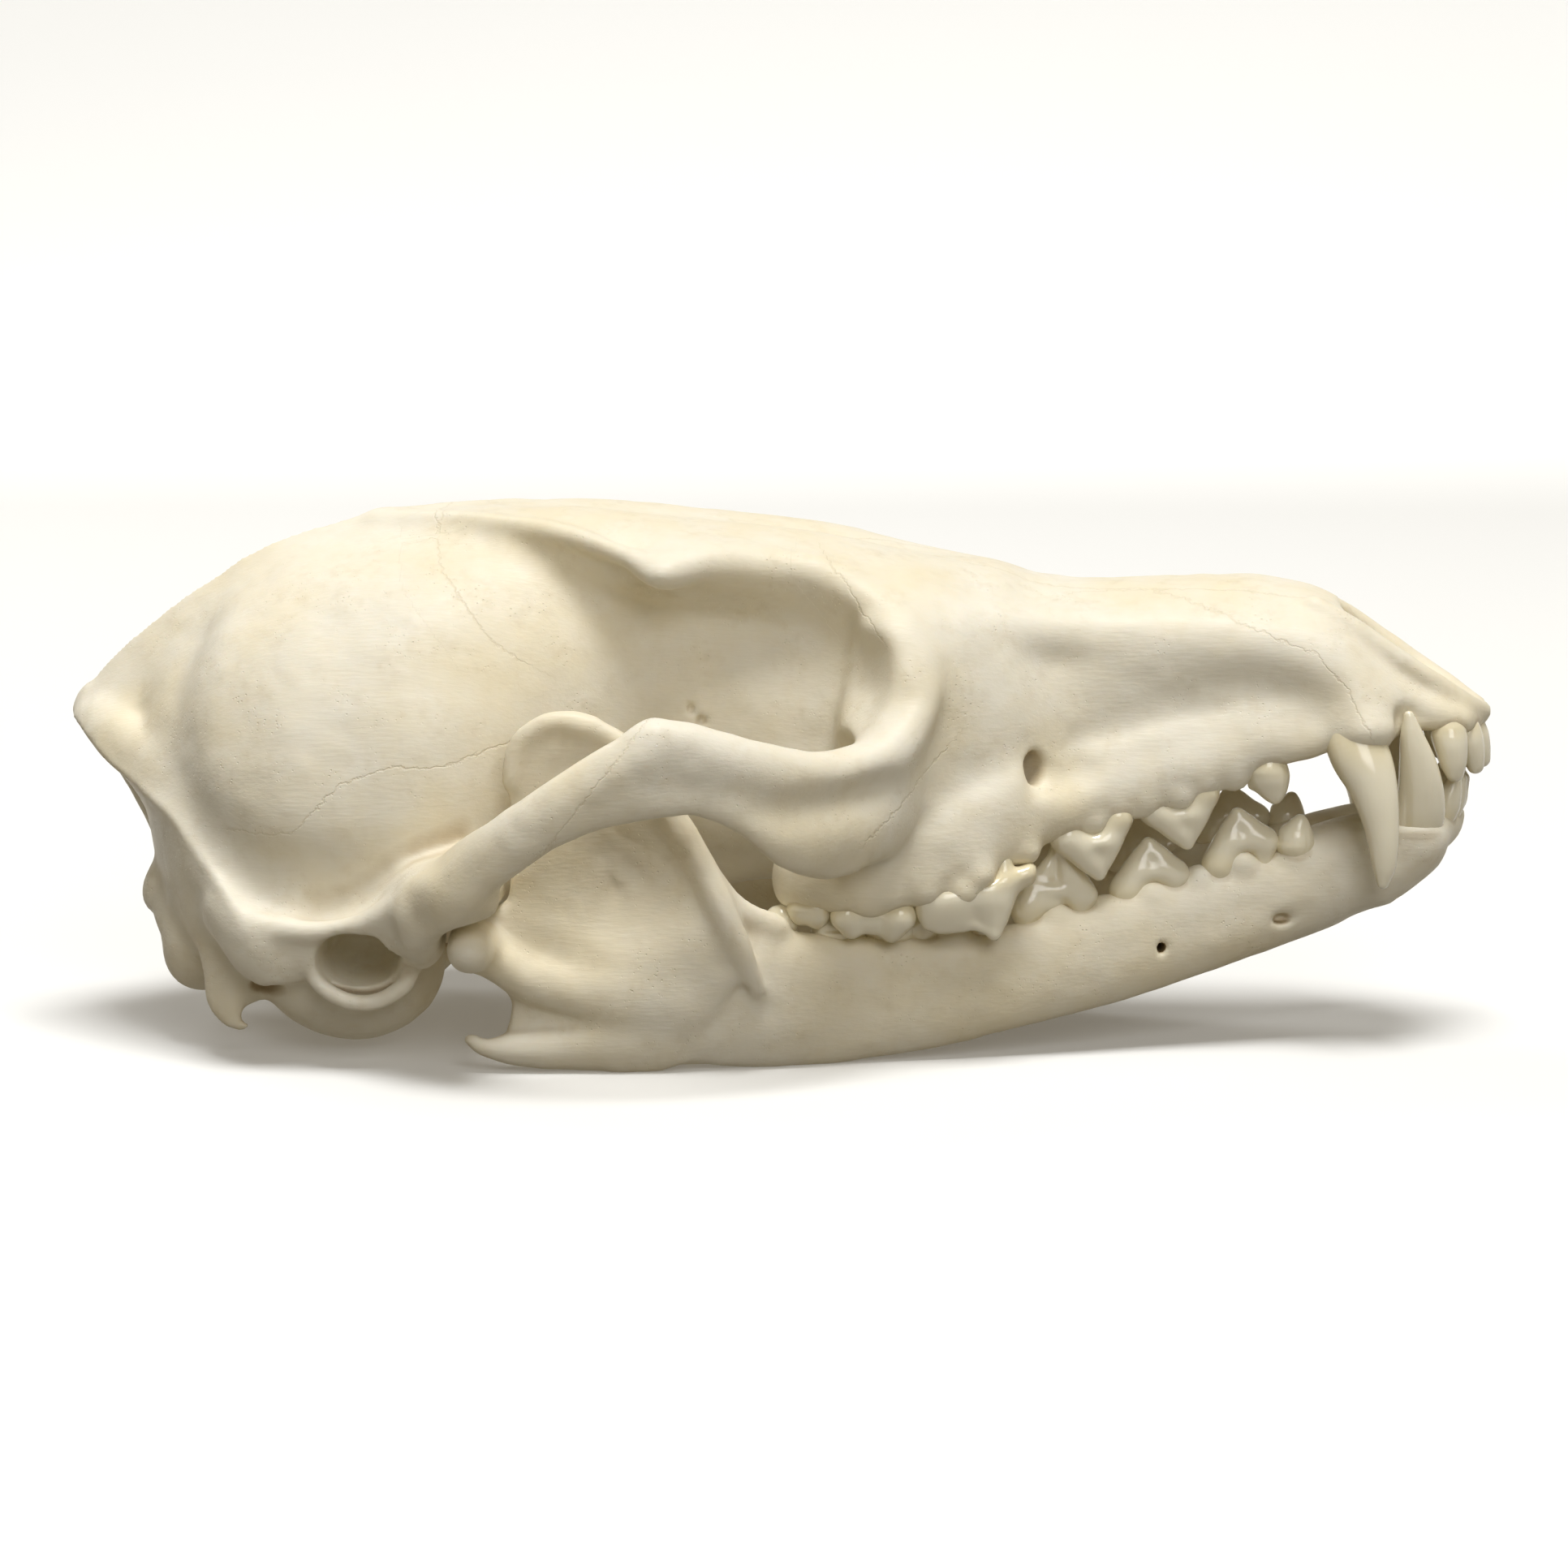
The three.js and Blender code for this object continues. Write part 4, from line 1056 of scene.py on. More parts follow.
        # Shallow trough along the middle of the brow
        c.carve(5, Strand([
            (-24, 0, 59.6, 3.6, 3, 3.2), (-12, 0, 58.4, 4, 3.4, 3.2), (2, 0, 56.6, 4, 3, 3.2),
            (16, 0, 53.6, 4, 2.4, 3),
        ]))

    def eye_wall(self) -> None:
        """Build the wall between the eye sockets and the bone under it."""
        c = self.clay
        c.add(3, Loft(central([
            (-34, 9.5, 14, 30, 50), (-24, 9.6, 15.4, 32, 50), (-14, 10.4, 16.2, 34, 50),
            (-6, 11.4, 17, 34, 49), (2, 13, 17.6, 33, 48), (9, 14.8, 17.6, 30, 47), (17, 14.6, 18, 28, 46),
        ]), over=3, under=2.6, caps=(5, 3)))

    def snout(self) -> None:
        """Build the upper jaw, the snout and the bone that carries the teeth."""
        c = self.clay
        c.add(2.5, Loft(central([
            (8, 12, 18, 26, 49), (14, 15, 17.6, 25, 50.1), (20, 15, 19, 27.5, 49.8),
            (26, 13.8, 21.4, 31, 48.7), (32, 12.4, 24, 35, 48), (40, 11.2, 26.6, 38, 48.2),
            (48, 10.5, 29.1, 39, 48.4), (54, 10.3, 30.7, 38.4, 47.6), (58, 10.4, 31.7, 37.2, 46),
            (62, 10, 32.6, 36, 42.3), (66, 8.7, 33, 35.3, 39.2), (70, 7.6, 32.9, 34.5, 36.8),
            (72.6, 5.9, 32.4, 33.7, 35),
        ]), over=2.1, under=4.2, caps=(3, 2)))
        # Face of the upper jaw, out to the front of the eye socket
        c.add(5, Loft([
            (5.4, 14, 26.6, 22, 31, 40), (9, 8, 25, 20.6, 32.6, 45.6), (13, 7, 22.2, 19, 33, 46.8),
            (18, 7, 19.4, 18.8, 32, 45.6), (23, 7, 16.8, 20.4, 31.6, 43.4), (28, 7, 14.4, 22.4, 32, 41),
        ], over=2.35, under=2.3, caps=(3, 5)))
        c.add(2.8, Loft(level([
            (-0.6, 13.4, 18.6, 16.4, 22), (4, 11.6, 20.8, 16, 24.6), (10, 11, 21.6, 15.8, 26.4),
            (16, 11.4, 21.2, 17, 28.6), (22, 11, 19.4, 19.2, 30.6), (28, 9.4, 16.4, 22.6, 32),
            (34, 8.6, 14.2, 25.2, 33.6), (40, 8, 12.7, 26.9, 35), (46, 7.6, 12, 28.6, 36.4),
            (52, 7.4, 11.7, 30.2, 37), (57, 7.4, 11.9, 31.4, 37),
        ]), over=2.2, under=3.0, caps=(1.6, 3)))
        # Swellings over the roots of the canine and the cheek teeth
        c.add(5, Strand([
            (59.8, 10.3, 33.8, 3.1, 3, 2.2), (58, 9.2, 37, 3, 2.4, 2.6), (54.6, 8.4, 40.4, 3, 2.2, 2.4),
            (49.6, 8.1, 42, 3, 2.1, 2.2), (42, 8, 42.6, 3, 2, 2), (34, 8.6, 43, 3, 2, 2),
            (26, 10.2, 43.6, 3, 2.2, 2.2), (18, 12.4, 44, 3, 2.4, 2.4),
        ]))
        over_roots = [
            (43.7, 10.4, 28, 2.4), (38.4, 10.8, 26.6, 2.6), (34.7, 12.2, 25.6, 2.8),
            (29.3, 13.2, 24, 2.8), (25.4, 16.4, 22, 3), (20.6, 19, 20, 3), (15, 20, 18.4, 3),
            (11.6, 20, 18, 2.4), (6.6, 19.6, 17.6, 2.2),
        ]
        for x, y, z, tall in over_roots:
            c.add(2.2, Strand([(x, y, z, 1.4), (x - 0.6, y - 0.5, z + tall, 1.0)]))
        between_roots = [
            (41, 11, 27), (32, 13, 24.6), (18.8, 19.4, 18.2), (9.6, 20, 17.2), (46.6, 10.2, 29),
            (37, 11.6, 26.3),
        ]
        for place in between_roots:
            c.add(1.6, Lump(place, (1.7, 1.3, 1.6)))
        # Shallow trough above the front cheek teeth
        c.carve(6, Strand([
            (31, 18.2, 36.6, 3.4, 3, 2.6), (38, 16.6, 36.4, 4, 3.9, 2.6), (46, 15.4, 36.6, 4, 4, 2.4),
            (54, 14.8, 36.2, 3, 2.8, 2),
        ]))
        # Edge of the nose opening, from the nasal bones down to the incisors
        c.add(2.2, Strand([
            (55, 5.8, 46, 0.9), (59, 6.4, 43.8, 1), (63.4, 6.5, 40.8, 1), (67.4, 6, 38.2, 1),
            (70.6, 4.4, 35.8, 1.1), (72.4, 1.6, 34.6, 1.1),
        ]))

    def cheek_arch(self) -> None:
        """Build the cheekbone arch, its root at the jaw joint and the rim of the eye socket."""
        c = self.clay
        half = self.arch_half
        c.add(2.6, Loft(level([
            (-38, 22.6, 29, 13.6, 18.6), (-34.6, 24.4, 31.8, 15, 21.4), (-31.5, 28, 35, 16.8, 24.6),
            (-28.6, 31.2, 37.2, 20, 27.2), (-26, 33.2, 38.2, 22.2, 29.2),
            (-23.5, 34.5, half - 0.4, 24, 31), (-20.9, 35.3, half, 25.7, 32.8),
            (-15.8, 35.6, half + 0.1, 27.7, 35.9), (-11.4, 35.2, half - 0.2, 28.4, 37.8),
            (-8.6, 34.6, 38.5, 28.6, 37.2), (-5.7, 33.6, 37.6, 27.9, 36), (-3, 32.3, 36.7, 26.4, 35.1),
            (-1.2, 31.2, 35.9, 24.7, 34.5), (0.8, 29.7, 34.8, 22.9, 34), (4, 26.4, 32.6, 21.8, 33.4),
            (8, 21.6, 29.8, 21.9, 33.9), (11.5, 18.4, 27, 22.6, 35.6), (15, 15.4, 24, 24, 38),
        ]), over=2.5, under=2.4, caps=(2, 4)))
        # Shelf that carries the arch back to the ear
        c.add(5, Loft(level([
            (-54, 14, 22.6, 9.6, 14), (-49, 15, 23.6, 10.2, 14.4), (-44, 16, 24.8, 11, 15.4),
            (-40, 17, 26.4, 11.8, 16.9), (-36, 18, 29.2, 13, 19.4), (-32.4, 20, 33, 15.4, 22.9),
            (-29, 24, 35.6, 19, 26),
        ]), over=2.2, under=2.2, caps=(3, 3)))
        c.add(5, Strand([
            (-51, 18.8, 11.8, 3), (-45, 19.8, 12.6, 3.2), (-39.6, 21.4, 14.4, 3.5),
            (-34.6, 24.6, 17.6, 3.8),
        ]))
        # Rolled upper rim, from the arch up round the front of the socket to the brow
        c.add(5, Strand([
            (-11.2, 37, 36.4, 1.1), (-7.4, 35.9, 35.8, 1.4), (-2.6, 34.2, 34, 1.5), (2, 31.8, 32.4, 1.5),
            (7, 28.6, 31.8, 1.5), (11.6, 25.4, 33, 1.4), (14.2, 22.2, 36.4, 1.3), (14.5, 19.8, 40.4, 1.2),
            (12.9, 17.4, 44, 1.1), (9.2, 15, 47, 1), (4, 13.2, 49.8, 0.9), (-2.2, 13.4, 50.9, 0.9),
            (-7, 15.2, 50.9, 0.9), (-10.6, 17, 50.3, 0.8),
        ], fine=6))
        c.add(3, Strand([
            (-13, 38, 34.6, 1), (-19, 38, 31, 1), (-25, 36.8, 27, 1), (-30, 34.2, 23, 1.1),
            (-34.5, 30.8, 19.8, 1.1), (-39, 27.4, 17, 1), (-43.5, 25.7, 15.2, 0.9),
            (-48, 24.7, 14.7, 0.9), (-52.4, 23.6, 15, 0.9),
        ], fine=6))
        # Crease along the outside of the cheekbone
        c.carve(4, Strand([
            (-8, 41.2, 31, 2.6, 2.2, 1.4), (-1, 39.4, 29.6, 3, 2.6, 1.4), (5, 35, 29, 3, 2.6, 1.4),
            (12, 29, 29.8, 3, 2.2, 1.6),
        ]))
        # Roof of the jaw joint, the stop behind it and the spur under the cheek
        c.add(3, Loft(level([
            (14, -40, -25.4, 15, 24), (20, -38.8, -27.6, 16, 22), (26, -37.6, -27.8, 16.6, 21),
            (31, -36, -27.4, 17, 21.6), (35, -33.4, -27.2, 18, 22.4),
        ]), axis=Axis.Y, over=2.6, under=2.6, caps=(2, 2)))
        c.add(2.4, Strand([
            (-36, 18.6, 15.6, 1.6, 1.8, 2), (-35.8, 21.4, 13.6, 1.5, 2.2, 2),
            (-35.6, 24.2, 13, 1.5, 2.2, 2), (-35.8, 27, 14.4, 1.5, 2.2, 2), (-36, 29.6, 17, 1.6, 1.8, 2),
        ]))
        c.add(1.6, Strand([(2.2, 29.6, 23.6, 1.4), (5, 28.4, 22.6, 1.2), (7.6, 27.2, 22.6, 0.9)]))

    def eye_socket(self) -> None:
        """Carve the eye socket, round where its walls meet, before the arch closes it from below."""
        self.clay.carve(3.2, Lump((-4.8, 30.4, 41.2), (19.4, 19.8, 11), (0, -4, 0)))

    def hollow_out(self) -> None:
        """Carve the nose, the palate, the throat, the jaw joint and the holes for nerves."""
        c = self.clay
        # Recess low at the front of the socket, where the canal starts
        c.carve(2.4, Lump((3, 21.4, 31.6), (5.4, 5.6, 3.8), (0, -8, 0)))
        # Canal from the socket to the hole on the cheek
        c.carve(0.8, Strand([
            (8, 17.2, 29.8, 1.6), (16, 15.4, 29.6, 1.7, 1.2, 2.2), (20.4, 14, 29.8, 1.7, 1.2, 2.3),
            (24, 14, 30.2, 1.6, 1.3, 2.1), (26.2, 15.2, 30.5, 1.2, 1.1, 1.6),
        ]))
        # Scoop on the cheek in front of the canal, with a sharp rear edge
        c.carve(1.4, Strand([(27.3, 17.9, 30.3, 2.3, 2.9, 3), (31, 17.7, 31, 3, 3.6, 3)]))
        c.carve(5.5, Strand([
            (31, 17.6, 31.2, 3, 3.7, 3), (37, 17.4, 33, 3.4, 4.2, 2.8), (44, 16.8, 35, 3.4, 4.4, 2.6),
        ]))
        # Nose
        c.carve(0.8, Loft(central([
            (36, 2.6, 37, 40, 42.6), (44, 4.4, 35.6, 40, 45), (51, 5.3, 35.4, 40.4, 45.6),
            (57, 5.6, 35.5, 40.6, 45), (60, 5.7, 35.6, 41.4, 50), (65, 5.4, 35.7, 42.4, 52),
            (69, 4.6, 35.9, 43, 52), (71.6, 3, 36.6, 43, 52),
        ]), over=2.4, under=2.4, caps=(3, 2)))
        # Throat passage between the wing plates
        c.carve(1.0, Loft(central([
            (-27, 2.5, 4, 8, 12.6), (-21, 4.3, 4, 13, 17.4), (-10, 4.5, 4, 16, 20.4),
            (0, 4.7, 6, 18.4, 22.6), (4.5, 4.2, 17.8, 20, 22.8), (11, 3.2, 19, 20.6, 22.8),
        ]), caps=(3, 2)))
        # Roof of the mouth
        c.carve(2.2, Loft(central([
            (-1.6, 9.6, 8, 14, 19.4), (8, 10.2, 8, 14, 18.8), (18, 10.2, 8, 15, 20.9),
            (28, 8.4, 12, 19, 24.2), (38, 7.2, 16, 23, 27.8), (50, 6.6, 20, 27, 31.2),
            (60, 6, 24, 30.6, 33.5), (67, 4.6, 29, 32, 33.5),
        ]), over=2.6, caps=(1.5, 3)))
        # Hole for the spine
        c.carve(1.2, Loft(central([
            (-74, 7.8, 6, 12.6, 17.4), (-64, 7.2, 8.6, 13.2, 17.8), (-58, 6.8, 9.6, 13.8, 18.4),
            (-46, 7, 11.6, 16, 20),
        ]), caps=(2, 5)))
        # Jaw joint
        c.carve(0.8, Loft(level([
            (17.4, -33.4, -27.6, 10.8, 16.9), (24, -33.6, -27.4, 10.6, 17.1),
            (37, -33.4, -27.6, 10.8, 16.9),
        ]), axis=Axis.Y, caps=(0.6, 0.6)))
        # Nerve holes in the wall of the socket, two behind the incisors and two in the palate
        c.carve(0.7, Strand([(-8, 14, 34.5, 0.8, 2, 0.75), (-8.1, 12.2, 34.5, 0.7, 1.6, 0.65)]))
        c.carve(0.7, Strand([(-9.2, 14, 35.8, 0.55, 2, 0.8), (-9.2, 12.3, 35.8, 0.45, 1.6, 0.7)]))
        c.carve(0.6, Strand([(-17, 14, 26.6, 1.6, 2, 1.2), (-14, 8, 27, 1.4, 2, 1.1)]))
        c.carve(0.6, Strand([(-22.6, 14, 23.4, 1.6, 2, 1), (-19, 8, 24, 1.4, 2, 1)]))
        c.carve(0.4, Strand([(58, 3.4, 31, 1.9, 0.9, 2), (62.6, 3.2, 34, 1.7, 0.9, 2)]))
        c.carve(0.4, Strand([(16, 6.4, 18, 0.7), (15, 6.4, 22, 0.7)]))
        # Room for the lower canine and the lower carnassial
        c.carve(1.4, Strand([(65.2, 10.8, 30, 2, 1.9, 2), (65, 10.4, 34.8, 2, 1.7, 1.8)]))
        c.carve(1.4, Lump((18.2, 13.4, 16.8), (5.8, 2.7, 4.2), (0, 0, -9)))

    def wing_plates(self) -> None:
        """Build the thin plates either side of the throat passage."""
        c = self.clay
        c.add(1.4, Loft(level([
            (-22, 5.6, 6.8, 9.6, 13), (-20, 5.3, 6.9, 9.6, 18.6), (-15, 5.2, 7.1, 12.4, 23),
            (-8, 5.3, 7.6, 16, 24), (0, 5.5, 8.8, 17.4, 24), (8, 6, 10, 17.3, 23),
        ]), over=3, under=2.4, caps=(0.8, 2)))
        c.add(1, Strand([(-18, 6.6, 12.4, 0.7), (-21.4, 6.7, 10, 0.7), (-23.4, 6.8, 8.8, 0.6)]))

    def scrolls(self) -> None:
        """Build the thin scrolls of bone inside the nose."""
        c = self.clay
        c.add(0.5, Strand([
            (40, 0, 36.6, 1.4, 0.35, 1.6), (58, 0, 36.8, 1.4, 0.35, 1.8), (66, 0, 35.8, 1.4, 0.35, 1),
        ]))
        # Each scroll winds outward from its middle, a fold for each step of the turn
        for turn in range(7):
            angle = 0.5 + turn * 0.75
            y = 2.9 + (0.35 + 0.16 * turn) * math.cos(angle)
            z = 40.4 + (0.5 + 0.3 * turn) * math.sin(angle)
            c.add(0.3, Strand([(40, y, z, 1, 0.34, 0.42), (51 - 0.4 * turn, y, z + 0.3, 1, 0.3, 0.36)]))

    def ear_capsule(self) -> None:
        """Build the swollen ear capsule with its round opening and lip."""
        c = self.clay
        c.add(1.4, Lump((-44.2, 13.4, 9.4), (9.7, 6.9, 7.9), (0, 6, -14)))
        c.add(1.8, Loft(level([
            (14, -47.6, -37.6, 7.4, 16), (19, -48, -37.2, 7.2, 16), (22.9, -47.8, -36.8, 7.4, 15.9),
        ]), axis=Axis.Y, caps=(2, 0.9)))
        c.add(1.0, Strand([
            (-47.2, 22.6, 12.6, 0.8), (-46.6, 23.4, 9.6, 0.9), (-44, 23.8, 7.6, 0.9), (-41, 23.8, 7.3, 0.9),
            (-38, 23.4, 8.8, 0.9), (-36.8, 22.8, 11, 0.8),
        ]))
        c.carve(0.7, Loft(level([
            (13, -45.4, -40.4, 9.6, 13.6), (18, -46.4, -38.8, 9, 14.2), (22, -46.6, -38.3, 8.8, 14.6),
            (27, -46.8, -37.6, 8.6, 14.8),
        ]), axis=Axis.Y, over=2.2, under=2.2, caps=(3, 0.5)))
        c.carve(1.5, Strand([(-50, 25, 6.4, 1.6), (-51.6, 20.6, 7.6, 1.5), (-53, 17, 8.4, 1.2)]))
        c.add(0.8, Strand([(-35.6, 10, 9.6, 1), (-33.6, 8.4, 10, 0.8), (-31.4, 7.4, 11.6, 0.7)]))

    def seams(self) -> list[Seam]:
        """Give the lines between the bones.

        Returns:
            The sutures of the left side, which serve both sides.
        """
        return [
            Seam([(-36, 55), (-34.8, 50.4), (-31.6, 46.6), (-29, 43.2), (-26, 41.4)], View.SIDE, 3),
            Seam([(-36, 0), (-35.2, 3), (-35.6, 7)], View.TOP, 0, 7, 45),
            Seam([
                (-55.6, 24.6), (-49, 24.6), (-44, 29.6), (-39, 31.4), (-34, 31.2), (-27, 33.6),
            ], View.SIDE, 12),
            Seam([(5.2, 51.2), (6.6, 49.6), (8.4, 46.8), (10.6, 44)], View.SIDE, 9, 24),
            Seam([(-12, 38.4), (-26, 20.6), (-28, 18)], View.SIDE, 30),
            Seam([(17, 33), (14.6, 30.4), (12.2, 27.6), (9.4, 25)], View.SIDE, 18),
            Seam([
                (31, 48), (39, 47.4), (45.6, 45.6), (48, 44.2), (55, 41.6), (58.2, 37.8), (60.4, 33.6),
            ], View.SIDE, 4.6),
            Seam([(5.4, 0.5), (9, 2.6), (20, 3.8), (34, 4.3), (46, 4.9), (58, 5.6)], View.TOP, 0.4, 9, 40),
            Seam([(-20, 0.0), (10, 0.02), (58, 0.0)], View.TOP, 0, 3, 40),
        ]

    def build(self, bone: bpy.types.Material, necks: Sequence[Row]) -> bpy.types.Object:
        """Shape the whole upper skull and dress it.

        Args:
            bone: its finish.
            necks: where the upper teeth leave it, as x, y, z and a radius.

        Returns:
            The piece.
        """
        for part in (self.braincase, self.nape, self.eye_wall, self.brow, self.snout, self.eye_socket,
                     self.cheek_arch, self.hollow_out, self.wing_plates, self.ear_capsule, self.scrolls):
            part()
        whole = self.clay.mirrored()
        whole.roughen(0.22, 7.0, 11)
        whole.roughen(0.07, 1.9, 12)
        points, faces = whole.surface()
        # The marks carry painted shade and grime for the recesses, and the seams
        piece = shape_mesh("cranium", points, faces, grime_shade_and_seams(points, whole, self.seams(), necks))
        piece.data.materials.append(bone)
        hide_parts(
            "braincase", "face", "zygomatic_left", "zygomatic_right", "bulla_left", "bulla_right"
        )
        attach(piece, "root")
        return piece


# Lower jaw


@dataclass
class LowerJaw:
    """The lower jaw, its left half worked and then mirrored for the right. Its sizes are in mm."""

    step: float  # spacing of the clay's grid
    gap: float = 0.3  # between the two halves at the chin
    clay: Clay = field(init=False)

    def __post_init__(self) -> None:
        """Lay out the clay."""
        self.clay = Clay((-36, -2, -3), (75, 37, 40), self.step)

    def body(self) -> None:
        """Build the bar that carries the teeth, to the chin."""
        c = self.clay
        c.add(0.5, Loft(level([
            (-18, 20.8, 23.8, 0.4, 16), (-9, 19, 23.2, 0.6, 15.4), (-3, 17.2, 22, 0.1, 14.2),
            (3.4, 15.2, 20.3, -0.1, 13.6), (12, 13, 18, 0.5, 12.9), (20, 11.2, 16.5, 1.9, 13.1),
            (28, 9.3, 14.5, 3.6, 14.6), (36, 7.2, 12.4, 5.5, 16.6), (42, 5, 11, 7.2, 18.3),
            (48, 1.6, 9.9, 9, 20), (52, 0, 9.3, 10.3, 21.2), (56, -1, 8.8, 11.7, 22.8),
            (60, -2, 8.2, 13.6, 23.8), (65, -2, 7, 16.8, 24.2), (69.4, -2, 5, 20.6, 24.8),
            (71, -2, 3.4, 22.4, 25),
        ]), over=2.6, under=2.3, caps=(3, 2)))
        c.add(3, Strand([
            (62, 5.6, 17, 3, 2.6, 2.2), (64.8, 6.3, 19.4, 3.1, 2.7, 2), (65.8, 7, 21.4, 3.1, 2.5, 2),
            (65.8, 7.4, 23, 2.9, 2.2, 1.2),
        ]))
        c.add(2, Strand([
            (69.2, 0.6, 22.6, 1.6, 2, 1.6), (69, 2.8, 22.7, 1.6, 2, 1.6), (68, 5, 22.8, 1.7, 1.8, 1.6),
        ]))
        # Bone that rises between the roots of each tooth
        between_roots = [
            (53.4, 7.4, 20.2), (47.7, 8.2, 19.3), (38.2, 9.8, 16.4), (28.4, 12, 14.4), (33.6, 10.4, 15),
            (43.2, 8.4, 17.8), (17.8, 14.6, 13),
        ]
        for place in between_roots:
            c.add(1.4, Lump(place, (1.7, 1.3, 1.5)))

    def blade(self) -> None:
        """Build the upright blade, the knuckle, the hooked angle and the crest of the chewing muscle."""
        c = self.clay
        c.add(4.6, Loft(level([
            (0.6, -27.6, -16, 20.8, 21.8), (4, -27.4, -13, 20.4, 22.6), (7, -27, -8, 20.4, 23.1),
            (10, -28.8, -4.6, 20.4, 23.6), (13.4, -30.4, -4.4, 20.6, 24), (16.2, -29.2, -5.4, 20.8, 24.2),
            (18, -27.2, -6, 21, 24.2), (22, -26.6, -7.9, 21.4, 24.3), (27, -26.9, -10.4, 22.4, 24.3),
            (31, -27.1, -12.7, 22.8, 24.4), (34.4, -26, -15.4, 23.1, 24.5),
            (36.5, -23.6, -18, 23.3, 24.5),
        ]), axis=Axis.Z, over=3.4, under=3.4, caps=(1.4, 1.2)))
        # Front edge of the blade, which runs on down the outside as the muscle's crest
        c.add(2.6, Strand([
            (-20, 23.9, 36, 0.8), (-16, 23.9, 34.2, 0.9), (-13, 24, 30.8, 1), (-10.6, 24, 26.8, 1.1),
            (-7.8, 23.9, 21.4, 1.2), (-5.2, 23.9, 16.6, 1.2), (-3.2, 23.2, 12.2, 1), (-2, 22.2, 8.6, 0.7),
        ]))
        c.add(3, Strand([
            (-9.4, 23.6, 24.6, 0.9), (-6.4, 22.2, 19.4, 1), (-3.6, 20.8, 16.4, 1.1), (0, 19.2, 14.6, 1.1),
        ]))
        c.add(1.8, Strand([
            (-26.6, 24, 30, 0.7), (-25.8, 24, 34, 0.8), (-22.6, 24, 36.2, 0.8), (-18.6, 23.9, 35.8, 0.8),
        ]))
        # Knuckle and the bar that runs forward from it
        c.add(2, Loft(level([
            (19, -32.4, -28.8, 12, 15.6), (22.5, -33, -28.1, 11.2, 16.1), (28, -32.9, -28.1, 11.2, 16.1),
            (32.6, -32.2, -28.8, 12.2, 15.4),
        ]), axis=Axis.Y, caps=(1.8, 1.8)))
        c.add(3, Strand([
            (-30, 24.4, 12.6, 1.6, 2, 1.8), (-27.6, 23.9, 11.2, 1.8, 1.6, 2),
            (-24, 23.7, 9.4, 1.8, 1.3, 2), (-18, 23.4, 8, 1.8, 1.1, 2), (-11, 22.9, 7, 1.8, 1, 2),
        ]))
        # Hooked angle
        c.add(2.4, Strand([
            (-31, 23.4, 3.4, 0.7, 0.7, 0.6), (-29.6, 23.3, 2.6, 1, 1, 0.9), (-27, 23, 2.3, 1.4, 1.3, 1.5),
            (-23, 22.7, 2.4, 1.6, 1.5, 2), (-18, 22.4, 2.6, 1.6, 1.5, 2.2), (-12, 21.8, 3, 1.6, 1.6, 2.2),
        ]))
        # Hollow for the chewing muscle, outside and, lower down, inside
        c.carve(4, Lump((-15.6, 28.4, 18.6), (8.4, 5.7, 7.6), (0, 24, 0)))
        c.carve(4, Lump((-19.6, 28.2, 27), (5, 4.2, 7.4), (0, -16, 0)))
        c.carve(3, Lump((-20.6, 18.6, 8), (5, 2.2, 4)))

    def holes(self) -> None:
        """Carve the nerve holes on the outside of the chin and inside the blade."""
        c = self.clay
        c.carve(0.7, Strand([(53.2, 10.4, 13.8, 1, 1, 0.6), (51.8, 8.4, 13.7, 0.9, 0.9, 0.5)]))
        c.carve(2, Lump((53.8, 10.6, 14), (3, 1.5, 1.3), (0, -18, 0)))
        c.carve(0.4, Strand([(39.8, 13, 11.2, 0.55), (38.8, 9, 11, 0.5)]))
        c.carve(0.6, Strand([(-20.4, 19, 9.4, 1.4, 1, 1), (-17, 22, 8.8, 1.2, 1, 0.9)]))

    def build(self, bone: bpy.types.Material, necks: Sequence[Row]) -> list[bpy.types.Object]:
        """Shape both halves of the lower jaw and dress them.

        Args:
            bone: their finish.
            necks: where the lower teeth leave them, as x, y, z and a radius.

        Returns:
            The left and the right piece.
        """
        for part in (self.body, self.blade, self.holes):
            part()
        self.clay.roughen(0.16, 6.0, 21)
        self.clay.roughen(0.06, 1.8, 22)
        # Cut flat at the chin's middle plane and at the ground
        across, up = self.clay.axes[1].reshape(1, -1, 1), self.clay.axes[2].reshape(1, 1, -1)
        self.clay.values = np.maximum(self.clay.values, self.gap / 2 - across)
        self.clay.values = np.maximum(self.clay.values, -up)
        points, faces = self.clay.surface()
        # The marks carry painted shade and grime for the recesses
        marks = grime_shade_and_seams(points, self.clay, [], necks)
        made = []
        for side, sign in (("left", 1), ("right", -1)):
            turned = points * np.array([1, sign, 1], dtype=np.float32)
            piece = shape_mesh(f"jaw_{side}", turned, faces if sign > 0 else faces[:, ::-1], marks)
            piece.data.materials.append(bone)
            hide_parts(f"mandible_{side}")
            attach(piece, "root")
            made.append(piece)
        return made


# Teeth


